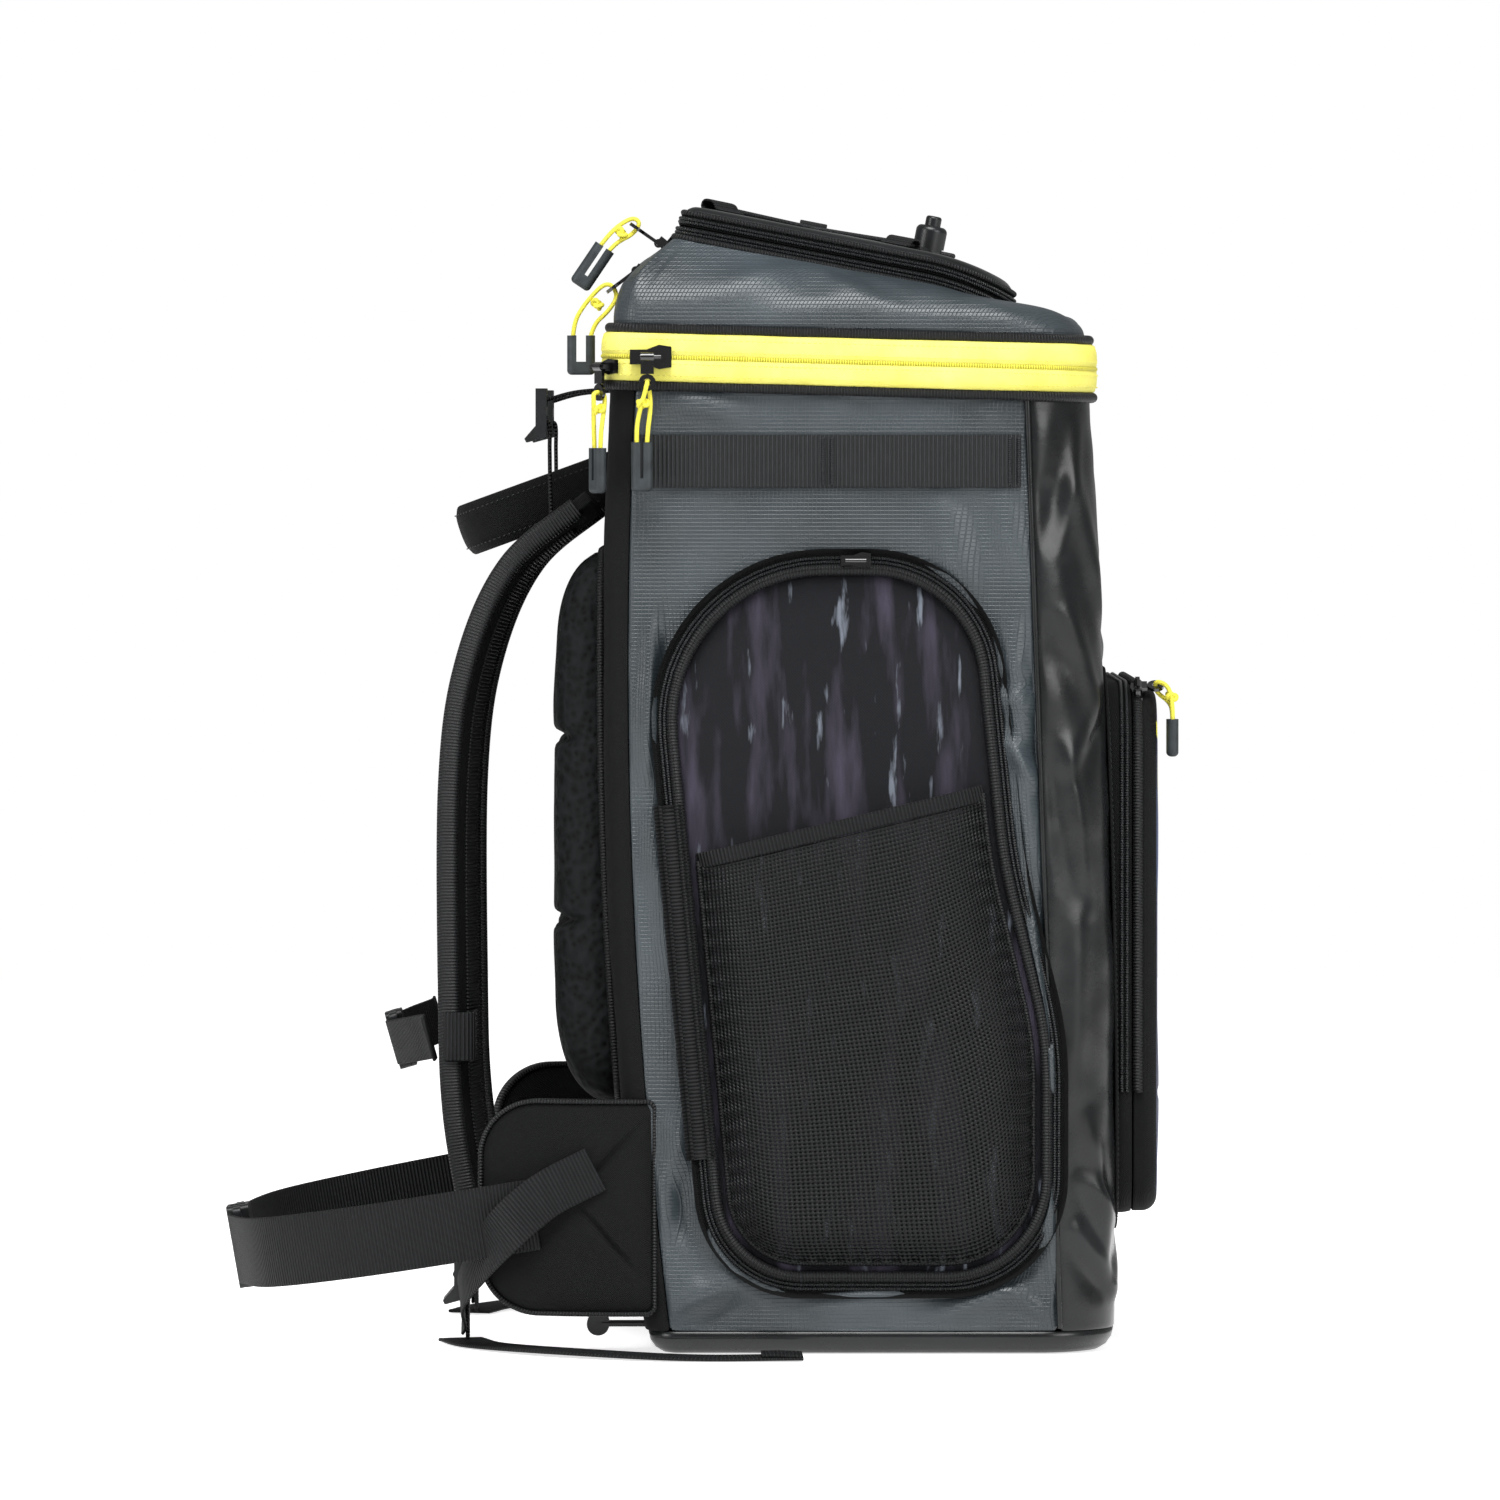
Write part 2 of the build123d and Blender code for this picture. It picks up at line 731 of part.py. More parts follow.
def buckle_socket(place, web, thick):
    """Female half: a flat sleeve with side windows, its mouth at x = 0 and a webbing slot at the tail."""
    reach = prong_reach * web
    long = reach + socket_web
    wide = buckle_wide(web)
    with BuildPart() as socket:
        with BuildSketch(place.offset(-thick / 2)):
            with Locations((-long / 2, 0)):
                RectangleRounded(long, wide, 3)
        extrude(amount=thick)
        with BuildSketch(place.offset(-bar_thick / 2)):
            with Locations((-long - buckle_tail / 2 + 2, 0)):
                RectangleRounded(buckle_tail + 4, wide - 1, 3)
        extrude(amount=bar_thick)
        with BuildSketch(place.offset(-thick / 2 + buckle_skin)):
            with Locations((-(reach + 2) / 2, 0)):
                Rectangle(reach + 2, wide - 2 * buckle_rail)
            with Locations((-reach + (catch_long + 2) / 2 - 1, 0)):
                Rectangle(catch_long + 2, wide + 2)
        extrude(amount=thick - 2 * buckle_skin, mode=Mode.SUBTRACT)
        with BuildSketch(place.offset(-thick)):
            with Locations((-long - buckle_tail / 2, 0)):
                Rectangle(bar_slot, web + 2 * fit_gap)
        extrude(amount=2 * thick, mode=Mode.SUBTRACT)
    return socket.part


def buckle_tongue(place, web, thick):
    """Male half: a webbing frame, a centre guide and two prongs, drawn pressed in as they pass the mouth."""
    reach = prong_reach * web
    wide = buckle_wide(web)
    edge = wide / 2 - buckle_rail - fit_gap
    deep = thick - 2 * buckle_skin - 2 * fit_gap
    prong = [
        (2, edge - 2),
        (catch_long + 1 - reach, edge - 3),
        (catch_long - reach, edge),
        (2 - reach, edge),
        (-reach, edge - 3),
        (-reach, edge - 5),
        (2, edge - 5),
    ]
    with BuildPart() as tongue:
        with BuildSketch(place.offset(-thick / 2)):
            with Locations((fit_gap + 2, 0)):
                RectangleRounded(4, wide - 1, 1)
        extrude(amount=thick)
        with BuildSketch(place.offset(-bar_thick / 2)):
            with Locations((fit_gap + tongue_long / 2, 0)):
                RectangleRounded(tongue_long, wide - 1, 2)
        extrude(amount=bar_thick)
        with BuildSketch(place.offset(-deep / 2)):
            with Locations(((2 - reach) / 2, 0)):
                Rectangle(reach + 2, 4)
            for side in (1, -1):
                with BuildLine():
                    Polyline(*[(x, side * y) for x, y in prong], close=True)
                make_face()
        extrude(amount=deep)
        with BuildSketch(place.offset(-thick)):
            with Locations((fit_gap + tongue_long / 2 + 2, 0)):
                Rectangle(bar_slot, web + 2 * fit_gap)
        extrude(amount=2 * thick, mode=Mode.SUBTRACT)
    return tongue.part


def belt_plane(y, z, fall):
    """Plane of a belt loop: x across, its own y away from the sack and falling by fall degrees."""
    turn = radians(fall)
    return Plane(origin=(0, y, z), x_dir=(1, 0, 0), z_dir=(0, sin(turn), cos(turn)))


def across(belt, forward):
    """Buckle plane at the middle of a belt: x along the belt, z away from the wearer."""
    return Plane(origin=belt.from_local_coords(Vector(0, forward, 0)), x_dir=(1, 0, 0), z_dir=belt.y_dir)


web_lift = bar_thick / 2 + web_thick / 2 + 0.2


def to_socket(web, forward):
    """Last two points of the left webbing, which lies on the bar at a socket's tail."""
    bar = -(prong_reach * web + socket_web + buckle_tail)
    return [(bar - 4, forward + web_lift), (bar + buckle_tail / 2 - 1, forward + web_lift)]


def to_tongue(forward):
    """Last two points of the right webbing, which lies on the outer bar of a tongue."""
    bar = fit_gap + tongue_long
    return [(bar + 4, forward + web_lift), (bar - tongue_long / 2 + 2, forward + web_lift)]


def mirrored(points):
    """The same plan points on the wearer's right."""
    return [(-x, y) for x, y in points]


waist_belt = belt_plane(200, 71, 9.9)
waist_forward, waist_thick = 144, 12
waist_place = across(waist_belt, waist_forward)
waist_shape = [(-183.5, -20), (-175, 16), (-154, 78), (-110, 128)]

with BuildPart() as waist_socket:
    add(buckle_socket(waist_place, web_wide, waist_thick))
with BuildPart() as waist_tongue:
    add(buckle_tongue(waist_place, web_wide, waist_thick))
with BuildPart() as waist_strap_left:
    add(ribbon(waist_belt, [*waist_shape, *to_socket(web_wide, waist_forward)], web_wide, web_thick, 0))
    add(wing_block(fit_gap), mode=Mode.SUBTRACT)
with BuildPart() as waist_strap_right:
    add(ribbon(waist_belt, [*mirrored(waist_shape), *to_tongue(waist_forward)], web_wide, web_thick, 0))
    with BuildPart(mode=Mode.PRIVATE) as wing_room:
        add(wing_block(fit_gap))
        mirror(about=Plane.YZ)
    add(wing_room.part, mode=Mode.SUBTRACT)

sternum_height = 166
sleeve_tall, sleeve_thick = 26, 2
sleeve_inner = strap_thick / 2 + 0.8
sleeve_outer = sleeve_inner + sleeve_thick
strap_face = 222.3

with BuildPart() as sternum_sleeves:
    with BuildSketch(Plane.XY.offset(sternum_height - sleeve_tall / 2)):
        with Locations((-strap_middle, strap_face)):
            RectangleRounded(strap_wide + 2 * (fit_gap + sleeve_thick), 2 * sleeve_outer, 3)
            Rectangle(strap_wide + 2 * fit_gap, 2 * sleeve_inner, mode=Mode.SUBTRACT)
    extrude(amount=sleeve_tall)
    mirror(about=Plane.YZ)

sternum_belt = belt_plane(strap_face + sleeve_outer, sternum_height, 16)
sternum_forward, sternum_thick = 26, 9
sternum_place = across(sternum_belt, sternum_forward)
sternum_shape = [(-112, 7.4), (-84, 8), (-60, 18.5)]

with BuildPart() as sternum_socket:
    add(buckle_socket(sternum_place, web_slim, sternum_thick))
with BuildPart() as sternum_tongue:
    add(buckle_tongue(sternum_place, web_slim, sternum_thick))
with BuildPart() as sternum_strap_left:
    add(ribbon(sternum_belt, [*sternum_shape, *to_socket(web_slim, sternum_forward)], web_slim, web_thick, 0))
with BuildPart() as sternum_strap_right:
    add(ribbon(sternum_belt, [*mirrored(sternum_shape), *to_tongue(sternum_forward)], web_slim, web_thick, 0))

with BuildPart() as belt_webbing_left:
    add(waist_strap_left.part)
    add(sternum_strap_left.part)

# ---------------------------------------------------------------- toggle at the foot of the back
toggle_x, toggle_y, toggle_z = -150, 147, 14
toggle_radius, toggle_wide, toggle_strap = 6, 16, 22

with BuildPart() as base_toggle:
    with Locations((toggle_x, (back_base + toggle_y) / 2 - 4, toggle_z)):
        Box(toggle_strap, toggle_y - back_base + 4, web_thick)
    with BuildSketch(Plane.YZ.offset(toggle_x - toggle_wide / 2)):
        with Locations((toggle_y, toggle_z)):
            Circle(toggle_radius)
    extrude(amount=toggle_wide)
    add(outer_block, mode=Mode.SUBTRACT)

# ---------------------------------------------------------------- zip sliders and their pulls
slider_plate, bar_radius, bar_lift, bar_reach = 2.4, 1.2, 5.2, 5.5
post_wide = 2.2
eye_play, eye_wall = 0.06, 1.1
pull_wide, pull_thick = 9, 1.8
cord_hole = 2.0


def zip_slider(place, long, wide):
    """Die-cast slider with a waisted top plate; x runs along its zip, and the pull's bar lies over it."""
    nose = [(-long / 2, 0.3 * wide), (-long * 0.1, 0.3 * wide), (long * 0.2, wide / 2), (long / 2, 0.42 * wide)]
    with BuildPart() as slider:
        with BuildSketch(place):
            with BuildLine():
                Polyline(*nose, *[(x, -y) for x, y in reversed(nose)], close=True)
            make_face()
        extrude(amount=slider_plate)
        with BuildSketch(place.offset(slider_plate - 0.2)):
            with Locations((-bar_reach - post_wide / 2, 0), (bar_reach + post_wide / 2, 0)):
                Rectangle(post_wide, 2 * bar_radius)
        extrude(amount=bar_lift + bar_radius - slider_plate + 0.2)
        bar_start = place.from_local_coords(Vector(-bar_reach, 0, bar_lift))
        with BuildSketch(Plane(origin=bar_start, z_dir=place.x_dir)):
            Circle(bar_radius)
        extrude(amount=2 * bar_reach)
    return slider.part


def zip_pull(place, shift, long, eye_wide=7):
    """Metal pull whose eye turns on a slider's bar: place lies on the bar, x along it, and it runs along -y."""
    with BuildPart() as pull:
        with BuildSketch(place.offset(-pull_thick / 2)):
            with Locations((shift, (pull_wide - long) / 2)):
                Rectangle(eye_wide, long - pull_wide)
            with Locations((shift, -long + pull_wide / 2)):
                Circle(pull_wide / 2)
                Circle(cord_hole, mode=Mode.SUBTRACT)
        extrude(amount=pull_thick)
        eye_start = place.from_local_coords(Vector(shift - eye_wide / 2, 0, 0))
        with BuildSketch(Plane(origin=eye_start, z_dir=place.x_dir)):
            Circle(bar_radius + eye_play + eye_wall)
        extrude(amount=eye_wide)
        with BuildSketch(Plane(origin=eye_start, z_dir=place.x_dir)):
            Circle(bar_radius + eye_play)
        extrude(amount=eye_wide, mode=Mode.SUBTRACT)
    return pull.part


grip_thick, grip_slit, grip_bridge, grip_bore_deep = 6.4, 1.6, 7, 8
cord_wide = 2.4


def cord_grip(place, spread, long):
    """Rubber U on the two legs of a pull's cord: place is its mouth, z points into it, the legs at +-spread."""
    with BuildPart() as grip:
        with BuildSketch(place):
            SlotOverall(2 * spread + grip_thick, grip_thick)
        extrude(amount=long)
        tail = grip.faces().sort_by(Axis(place.origin, place.z_dir))[-1]
        fillet(tail.edges(), 2.4)
        with BuildSketch(place):
            Rectangle(grip_slit + 2 * (spread - 2.5), grip_thick + 2)
        extrude(amount=long - grip_bridge, mode=Mode.SUBTRACT)
        with BuildSketch(place):
            with Locations((-spread, 0), (spread, 0)):
                Circle(cord_wide / 2 + 0.05)
        extrude(amount=grip_bore_deep, mode=Mode.SUBTRACT)
    return grip.part


slider_gap = 0.3
main_long, main_wide = 22, 13
front_slider_y, front_pull_shift, main_pull_long = 118.5, -1.8, 18
side_zip_x = -(half + band_proud + slider_gap)
front_slider_z = rim_height + front_slider_y * tan(radians(rim_tilt))
front_slide = Plane(origin=(side_zip_x, front_slider_y, front_slider_z), x_dir=(0, -1, 0), z_dir=(-1, 0, 0))

with BuildPart() as main_slider_front:
    add(zip_slider(front_slide, main_long, main_wide))
with BuildPart() as main_pull_front:
    add(zip_pull(front_slide.offset(bar_lift), front_pull_shift, main_pull_long))


def from_rim(*points):
    """Points whose heights are measured from the rim of the sack."""
    return [(x, y, rim_height + z) for x, y, z in points]


front_cord_route = from_rim(
    (-197.2, 125.6, -48),
    (-197.0, 126.3, -36),
    (-198.6, 124.0, -24),
    (-200.2, 121.4, -15.5),
    (-200.2, 120.3, -10.4),
    (-193.0, 120.3, -10.4),
    (-193.8, 118.6, -18),
    (-196.6, 118.8, -27),
    (-197.4, 120.2, -37),
    (-197.2, 120.6, -48),
)
front_mouth = Plane(origin=from_rim((-197.2, 123.1, -42))[0], x_dir=(0, 1, 0), z_dir=(0, 0, -1))
with BuildPart() as main_cord_front:
    add(cord_tube(front_cord_route, cord_wide))
with BuildPart() as main_grip_front:
    add(cord_grip(front_mouth, 2.5, 26))

# the rear slider stands on the lower half of the band, round its back corner
rear_turn = radians(55)
rear_wide, rear_long, rear_drop = 8.6, 20, 2
corner_x = -(half - back_corner)
corner_y = back_at_rim - back_corner
corner_reach = back_corner + band_proud + slider_gap
rear_slide = Plane(
    origin=(
        corner_x - corner_reach * cos(rear_turn),
        corner_y + corner_reach * sin(rear_turn),
        rim_height - rear_drop,
    ),
    x_dir=(-sin(rear_turn), -cos(rear_turn), 0),
    z_dir=(-cos(rear_turn), sin(rear_turn), 0),
)
with BuildPart() as main_pull_rear:
    add(zip_pull(rear_slide.offset(bar_lift), 0, main_pull_long))

rear_cord_route = from_rim(
    (-183.3, 148.2, -51),
    (-183.0, 148.6, -39),
    (-184.9, 148.8, -28),
    (-187.4, 148.7, -20),
    (-187.0, 148.9, -15.5),
    (-182.8, 143.0, -15.5),
    (-184.3, 142.9, -22.5),
    (-187.0, 144.2, -31),
    (-188.0, 145.1, -40),
    (-187.5, 145.2, -51),
)
with BuildPart() as main_cord_rear:
    add(cord_tube(rear_cord_route, cord_wide))
rear_mouth = Plane(origin=from_rim((-185.4, 146.7, -45))[0], x_dir=tuple(rear_slide.x_dir), z_dir=(0, 0, -1))
with BuildPart() as main_grip_rear:
    add(cord_grip(rear_mouth, 2.6, 24))

# sliders of the side doors lie on the zip tape over the head of each door, clear of its swing
door_slider_long, door_slider_wide, door_slider_y = 16, 9, 10
door_slide = Plane(
    origin=(-(half + tape_thick + slider_gap), door_slider_y, door_crown + door_tape / 2),
    x_dir=(0, -1, 0),
    z_dir=(-1, 0, 0),
)
with BuildPart() as fixed_sliders:
    add(zip_slider(door_slide, door_slider_long, door_slider_wide))
    mirror(about=Plane.YZ)
    add(zip_slider(rear_slide, rear_long, rear_wide))

# two sliders of the lid pocket on the back slope of the lid
slope_foot = eave.from_local_coords(Vector(0, back_top, 0))
slope_head = crown.from_local_coords(Vector(0, crown_back, 0))
slope_down = (slope_foot - slope_head).normalized()
flap_slider_long, flap_slider_wide = 15, 9
upper_slider_x, upper_slider_drop = -130, 10
lower_slider_x, lower_slider_drop = -142, 29


def slope_plane(x, drop):
    """Plane of a slider on the lid's back slope: z leaves the slope and x lies across, along the pull's bar."""
    normal = Vector(1, 0, 0).cross(slope_down)
    start = slope_head + slope_down * drop + normal * slider_gap
    return Plane(origin=(x, start.Y, start.Z), x_dir=(1, 0, 0), z_dir=tuple(normal))


def cross_slider(place, long, wide):
    """Slider of a zip that runs down the slope: as zip_slider, with the pull's bar across the zip."""
    nose = [(0.3 * wide, long / 2), (0.3 * wide, long * 0.1), (wide / 2, -long * 0.2), (0.42 * wide, -long / 2)]
    with BuildPart() as slider:
        with BuildSketch(place):
            with BuildLine():
                Polyline(*nose, *[(-x, y) for x, y in reversed(nose)], close=True)
            make_face()
        extrude(amount=slider_plate)
        with BuildSketch(place.offset(slider_plate - 0.2)):
            with Locations((-wide / 2 + post_wide / 2, -1.5), (wide / 2 - post_wide / 2, -1.5)):
                Rectangle(post_wide, 5)
        extrude(amount=bar_lift + bar_radius - slider_plate + 0.2)
        bar_start = place.from_local_coords(Vector(-wide / 2 + 1, 0, bar_lift))
        with BuildSketch(Plane(origin=bar_start, z_dir=place.x_dir)):
            Circle(bar_radius)
        extrude(amount=wide - 2)
    return slider.part


with BuildPart() as flap_sliders:
    add(cross_slider(slope_plane(upper_slider_x, upper_slider_drop), flap_slider_long, flap_slider_wide))
    add(cross_slider(slope_plane(lower_slider_x, lower_slider_drop), flap_slider_long, flap_slider_wide))


def arm_plane(x, drop, rise):
    """Plane of a flap pull on its slider's bar; the pull points back and rises by rise degrees."""
    turn = radians(rise)
    bar = slope_plane(x, drop).offset(bar_lift).origin
    return Plane(origin=bar, x_dir=(1, 0, 0), z_dir=(0, sin(turn), -cos(turn)))


flap_eye = 4
upper_rise, lower_rise = 35, -37
with BuildPart() as flap_pull_upper:
    add(zip_pull(arm_plane(upper_slider_x, upper_slider_drop, upper_rise), 0, 18.5, flap_eye))
with BuildPart() as flap_pull_lower:
    add(zip_pull(arm_plane(lower_slider_x, lower_slider_drop, lower_rise), 0, 19.5, flap_eye))

upper_cord_route = from_rim(
    (upper_slider_x, 149.0, 58.6),
    (upper_slider_x, 145.7, 63.6),
    (upper_slider_x, 138.0, 72.6),
    (upper_slider_x, 128.7, 78.4),
    (upper_slider_x, 124.3, 75.2),
    (upper_slider_x, 128.7, 69.0),
    (upper_slider_x, 135.8, 65.6),
    (upper_slider_x, 141.3, 60.6),
    (upper_slider_x, 144.7, 55.7),
)
lower_cord_route = from_rim(
    (lower_slider_x, 160.3, 10.0),
    (lower_slider_x, 160.7, 21.0),
    (lower_slider_x, 153.0, 33.5),
    (lower_slider_x, 141.9, 44.5),
    (lower_slider_x, 135.9, 36.5),
    (lower_slider_x, 141.5, 27.8),
    (lower_slider_x, 150.2, 20.2),
    (lower_slider_x, 151.8, 10.0),
)
upper_start = from_rim((upper_slider_x, 143.5, 62.1))[0]
lower_start = from_rim((lower_slider_x, 156.05, 15.0))[0]
upper_mouth = Plane(origin=upper_start, x_dir=(0, 0.83, 0.56), z_dir=(0, 0.56, -0.83))
lower_mouth = Plane(origin=lower_start, x_dir=(0, 1, 0), z_dir=(0, 0, -1))
with BuildPart() as flap_cord_upper:
    add(cord_tube(upper_cord_route, cord_wide))
with BuildPart() as flap_cord_lower:
    add(cord_tube(lower_cord_route, cord_wide))
with BuildPart() as flap_grip_upper:
    add(cord_grip(upper_mouth, 2.7, 25))
with BuildPart() as flap_grip_lower:
    add(cord_grip(lower_mouth, 4.25, 21))

# slider of the pouch at its upper left corner, with its pull laid forward over the edge
pouch_turn = radians(60)
pouch_slider_y = -141.6
pouch_slider_long, pouch_slider_wide = 16, 8
pouch_reach = pouch_top_round + slider_gap
pouch_slide = Plane(
    origin=(
        -(pouch_half - pouch_top_round) - pouch_reach * cos(pouch_turn),
        pouch_slider_y,
        pouch_high - pouch_top_round + pouch_reach * sin(pouch_turn),
    ),
    x_dir=(sin(pouch_turn), 0, cos(pouch_turn)),
    z_dir=(-cos(pouch_turn), 0, sin(pouch_turn)),
)
with BuildPart() as pouch_slider:
    add(zip_slider(pouch_slide, pouch_slider_long, pouch_slider_wide))
with BuildPart() as pouch_pull:
    add(zip_pull(pouch_slide.offset(bar_lift), 0, 14))

pouch_cord_route = [
    (-129.5, -160.0, 331.0),
    (-129.3, -160.3, 341.0),
    (-127.8, -158.5, 353.5),
    (-125.7, -151.0, 357.0),
    (-121.9, -151.0, 350.6),
    (-123.5, -159.0, 345.0),
    (-124.4, -160.3, 338.5),
    (-124.5, -160.0, 331.0),
]
with BuildPart() as pouch_cord:
    add(cord_tube(pouch_cord_route, cord_wide))
with BuildPart() as pouch_grip:
    add(cord_grip(Plane(origin=(-127, -160, 336), x_dir=(1, 0, 0), z_dir=(0, 0, -1)), 2.5, 20))


# ---------------------------------------------------------------- the wearer's right
def other_side(thing):
    """The same piece on the other side of the sack."""
    with BuildPart() as twin:
        add(thing)
        mirror(about=Plane.YZ, mode=Mode.REPLACE)
    return twin


with BuildPart() as shoulder_straps:
    add(shoulder_strap_left.part)
    mirror(about=Plane.YZ)

# ---------------------------------------------------------------- export
pieces = {
    "base_panel": base_panel,
    "front_panel": front_panel,
    "back_panel": back_panel,
    "side_panel_left": side_panel_left,
    "side_panel_right": other_side(side_panel_left.part),
    "door_left": door_left,
    "door_right": other_side(door_left.part),
    "mesh_pocket_left": mesh_pocket_left,
    "mesh_pocket_right": other_side(mesh_pocket_left.part),
    "frame_sheet": frame_sheet,
    "boot_dividers": boot_dividers,
    "zip_band_lower": zip_band_lower,
    "zip_band_upper": zip_band_upper,
    "lid_shell": lid_shell,
    "lid_lining": lid_lining,
    "flap_zip": flap_zip,
    "lid_flap": lid_flap,
    "bungee": bungee,
    "bungee_tabs": bungee_tabs,
    "cord_lock": cord_lock,
    "cord_lock_button": cord_lock_button,
    "pouch_gusset": pouch_gusset,
    "pouch_face": pouch_face,
    "panel_zips": panel_zips,
    "side_webbing": side_webbing,
    "back_pad": back_pad,
    "grab_handle": grab_handle,
    "shoulder_straps": shoulder_straps,
    "ladder_locks": ladder_locks,
    "harness_webbing": harness_webbing,
    "hip_wings": hip_wings,
    "belt_webbing_left": belt_webbing_left,
    "waist_socket": waist_socket,
    "waist_strap_right": waist_strap_right,
    "waist_tongue": waist_tongue,
    "sternum_sleeves": sternum_sleeves,
    "sternum_socket": sternum_socket,
    "sternum_strap_right": sternum_strap_right,
    "sternum_tongue": sternum_tongue,
    "base_toggle": base_toggle,
    "fixed_sliders": fixed_sliders,
    "main_slider_front": main_slider_front,
    "main_pull_front": main_pull_front,
    "main_cord_front": main_cord_front,
    "main_grip_front": main_grip_front,
    "main_pull_rear": main_pull_rear,
    "main_cord_rear": main_cord_rear,
    "main_grip_rear": main_grip_rear,
    "flap_sliders": flap_sliders,
    "flap_pull_upper": flap_pull_upper,
    "flap_cord_upper": flap_cord_upper,
    "flap_grip_upper": flap_grip_upper,
    "flap_pull_lower": flap_pull_lower,
    "flap_cord_lower": flap_cord_lower,
    "flap_grip_lower": flap_grip_lower,
    "pouch_slider": pouch_slider,
    "pouch_pull": pouch_pull,
    "pouch_cord": pouch_cord,
    "pouch_grip": pouch_grip,
}
for name, piece in pieces.items():
    piece.part.label = name
    export_step(piece.part, f"parts/{name}.step")
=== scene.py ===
"""Looks of the ski boot backpack: cloth, webbing, zips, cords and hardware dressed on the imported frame.

The frame is in metres with +Z up, +Y towards the wearer's back and -X the wearer's left.
Shapes here are worked out in millimetres and made metres when their mesh is written.
"""

from math import acos, cos, exp, hypot, pi, radians, sin, tan

import bmesh
import bpy
from mathutils import Matrix, Vector, noise


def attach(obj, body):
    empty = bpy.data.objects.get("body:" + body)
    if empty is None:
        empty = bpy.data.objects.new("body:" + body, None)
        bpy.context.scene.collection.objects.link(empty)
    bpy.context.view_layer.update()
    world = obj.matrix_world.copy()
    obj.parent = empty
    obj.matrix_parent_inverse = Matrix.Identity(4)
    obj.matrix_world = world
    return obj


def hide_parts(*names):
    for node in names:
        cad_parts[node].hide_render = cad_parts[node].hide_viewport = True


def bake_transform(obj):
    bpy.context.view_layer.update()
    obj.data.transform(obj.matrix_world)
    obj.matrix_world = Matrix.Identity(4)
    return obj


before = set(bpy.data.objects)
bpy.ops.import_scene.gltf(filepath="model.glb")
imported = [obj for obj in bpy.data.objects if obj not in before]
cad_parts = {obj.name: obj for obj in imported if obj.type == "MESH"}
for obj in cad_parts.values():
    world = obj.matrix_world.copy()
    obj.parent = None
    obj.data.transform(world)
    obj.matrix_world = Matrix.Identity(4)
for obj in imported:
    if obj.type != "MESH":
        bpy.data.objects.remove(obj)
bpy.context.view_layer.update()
scene = bpy.context.scene

# ---------------------------------------------------------------- camera, floor and light
# A long lens looks square at the wearer's left side from a little above the middle of the bag.
# The floor is a plain white sheet, and three large soft lamps and a pale room light the cloth evenly.
camera_spot = Vector((-6.0, 0.066, 0.48))
camera_aim = Vector((0, 0.066, 0.316))
camera_data = bpy.data.cameras.new("camera")
camera_data.lens = 263.5
camera_data.sensor_width = 36
camera = bpy.data.objects.new("camera", camera_data)
camera.location = camera_spot
camera.rotation_euler = (camera_aim - camera_spot).to_track_quat("-Z", "Y").to_euler()
scene.collection.objects.link(camera)
scene.camera = camera
scene.view_settings.view_transform = "Standard"


def linear(code):
    """Linear colour of an sRGB hex code."""
    parts = [int(code[at : at + 2], 16) / 255 for at in (0, 2, 4)]
    return (*[part / 12.92 if part <= 0.04045 else ((part + 0.055) / 1.055) ** 2.4 for part in parts], 1)


def add_node(tree, kind, inputs=None, **settings):
    """Adds a shader node, sets its properties and its inputs by name or number, and returns it."""
    node = tree.nodes.new(kind)
    for name, value in settings.items():
        setattr(node, name, value)
    for name, value in (inputs or {}).items():
        if isinstance(value, bpy.types.NodeSocket):
            tree.links.new(value, node.inputs[name])
        else:
            node.inputs[name].default_value = value
    return node


def maths(tree, operation, first, second=0.0):
    """Result of one Math node."""
    return add_node(tree, "ShaderNodeMath", {0: first, 1: second}, operation=operation).outputs[0]


def lamp(name, spot, aim, size, power):
    """Large square soft lamp."""
    data = bpy.data.lights.new(name, "AREA")
    data.size = size
    data.energy = power
    light = bpy.data.objects.new(name, data)
    light.location = spot
    light.rotation_euler = (Vector(aim) - Vector(spot)).to_track_quat("-Z", "Y").to_euler()
    scene.collection.objects.link(light)


lamp("lamp_over", (-1.5, 0.1, 3.0), (0, 0, 0.3), 1.8, 135)
lamp("lamp_front", (-2.6, -2.6, 1.5), (0, 0, 0.3), 1.6, 66)
lamp("lamp_back", (-2.2, 2.8, 1.3), (0, 0.1, 0.3), 1.4, 46)

room = bpy.data.worlds.new("room")
scene.world = room
room.use_nodes = True
room_tree = room.node_tree
room_tree.nodes.clear()
room_rays = add_node(room_tree, "ShaderNodeLightPath").outputs
seen = maths(room_tree, "MAXIMUM", room_rays["Is Camera Ray"], room_rays["Is Transmission Ray"])
room_level = maths(room_tree, "ADD", maths(room_tree, "MULTIPLY", seen, 0.66), 0.34)
room_white = add_node(room_tree, "ShaderNodeBackground", {"Color": (1, 1, 1, 1), "Strength": room_level})
add_node(room_tree, "ShaderNodeOutputWorld", {"Surface": room_white.outputs[0]})

floor_sheet = bmesh.new()
bmesh.ops.create_circle(floor_sheet, cap_ends=True, segments=96, radius=4.0)
bmesh.ops.translate(floor_sheet, verts=floor_sheet.verts, vec=(0, 0, -0.0004))
floor_mesh = bpy.data.meshes.new("floor")
floor_sheet.to_mesh(floor_mesh)
floor_sheet.free()
floor = bpy.data.objects.new("floor", floor_mesh)
scene.collection.objects.link(floor)
paper = bpy.data.materials.new("backdrop_paper")
paper.use_nodes = True
paper_tree = paper.node_tree
paper_tree.nodes.clear()
paper_rays = add_node(paper_tree, "ShaderNodeLightPath").outputs
paper_seen = maths(paper_tree, "MAXIMUM", paper_rays["Is Camera Ray"], paper_rays["Is Glossy Ray"])
paper_glow = maths(paper_tree, "MULTIPLY", paper_seen, 0.72)
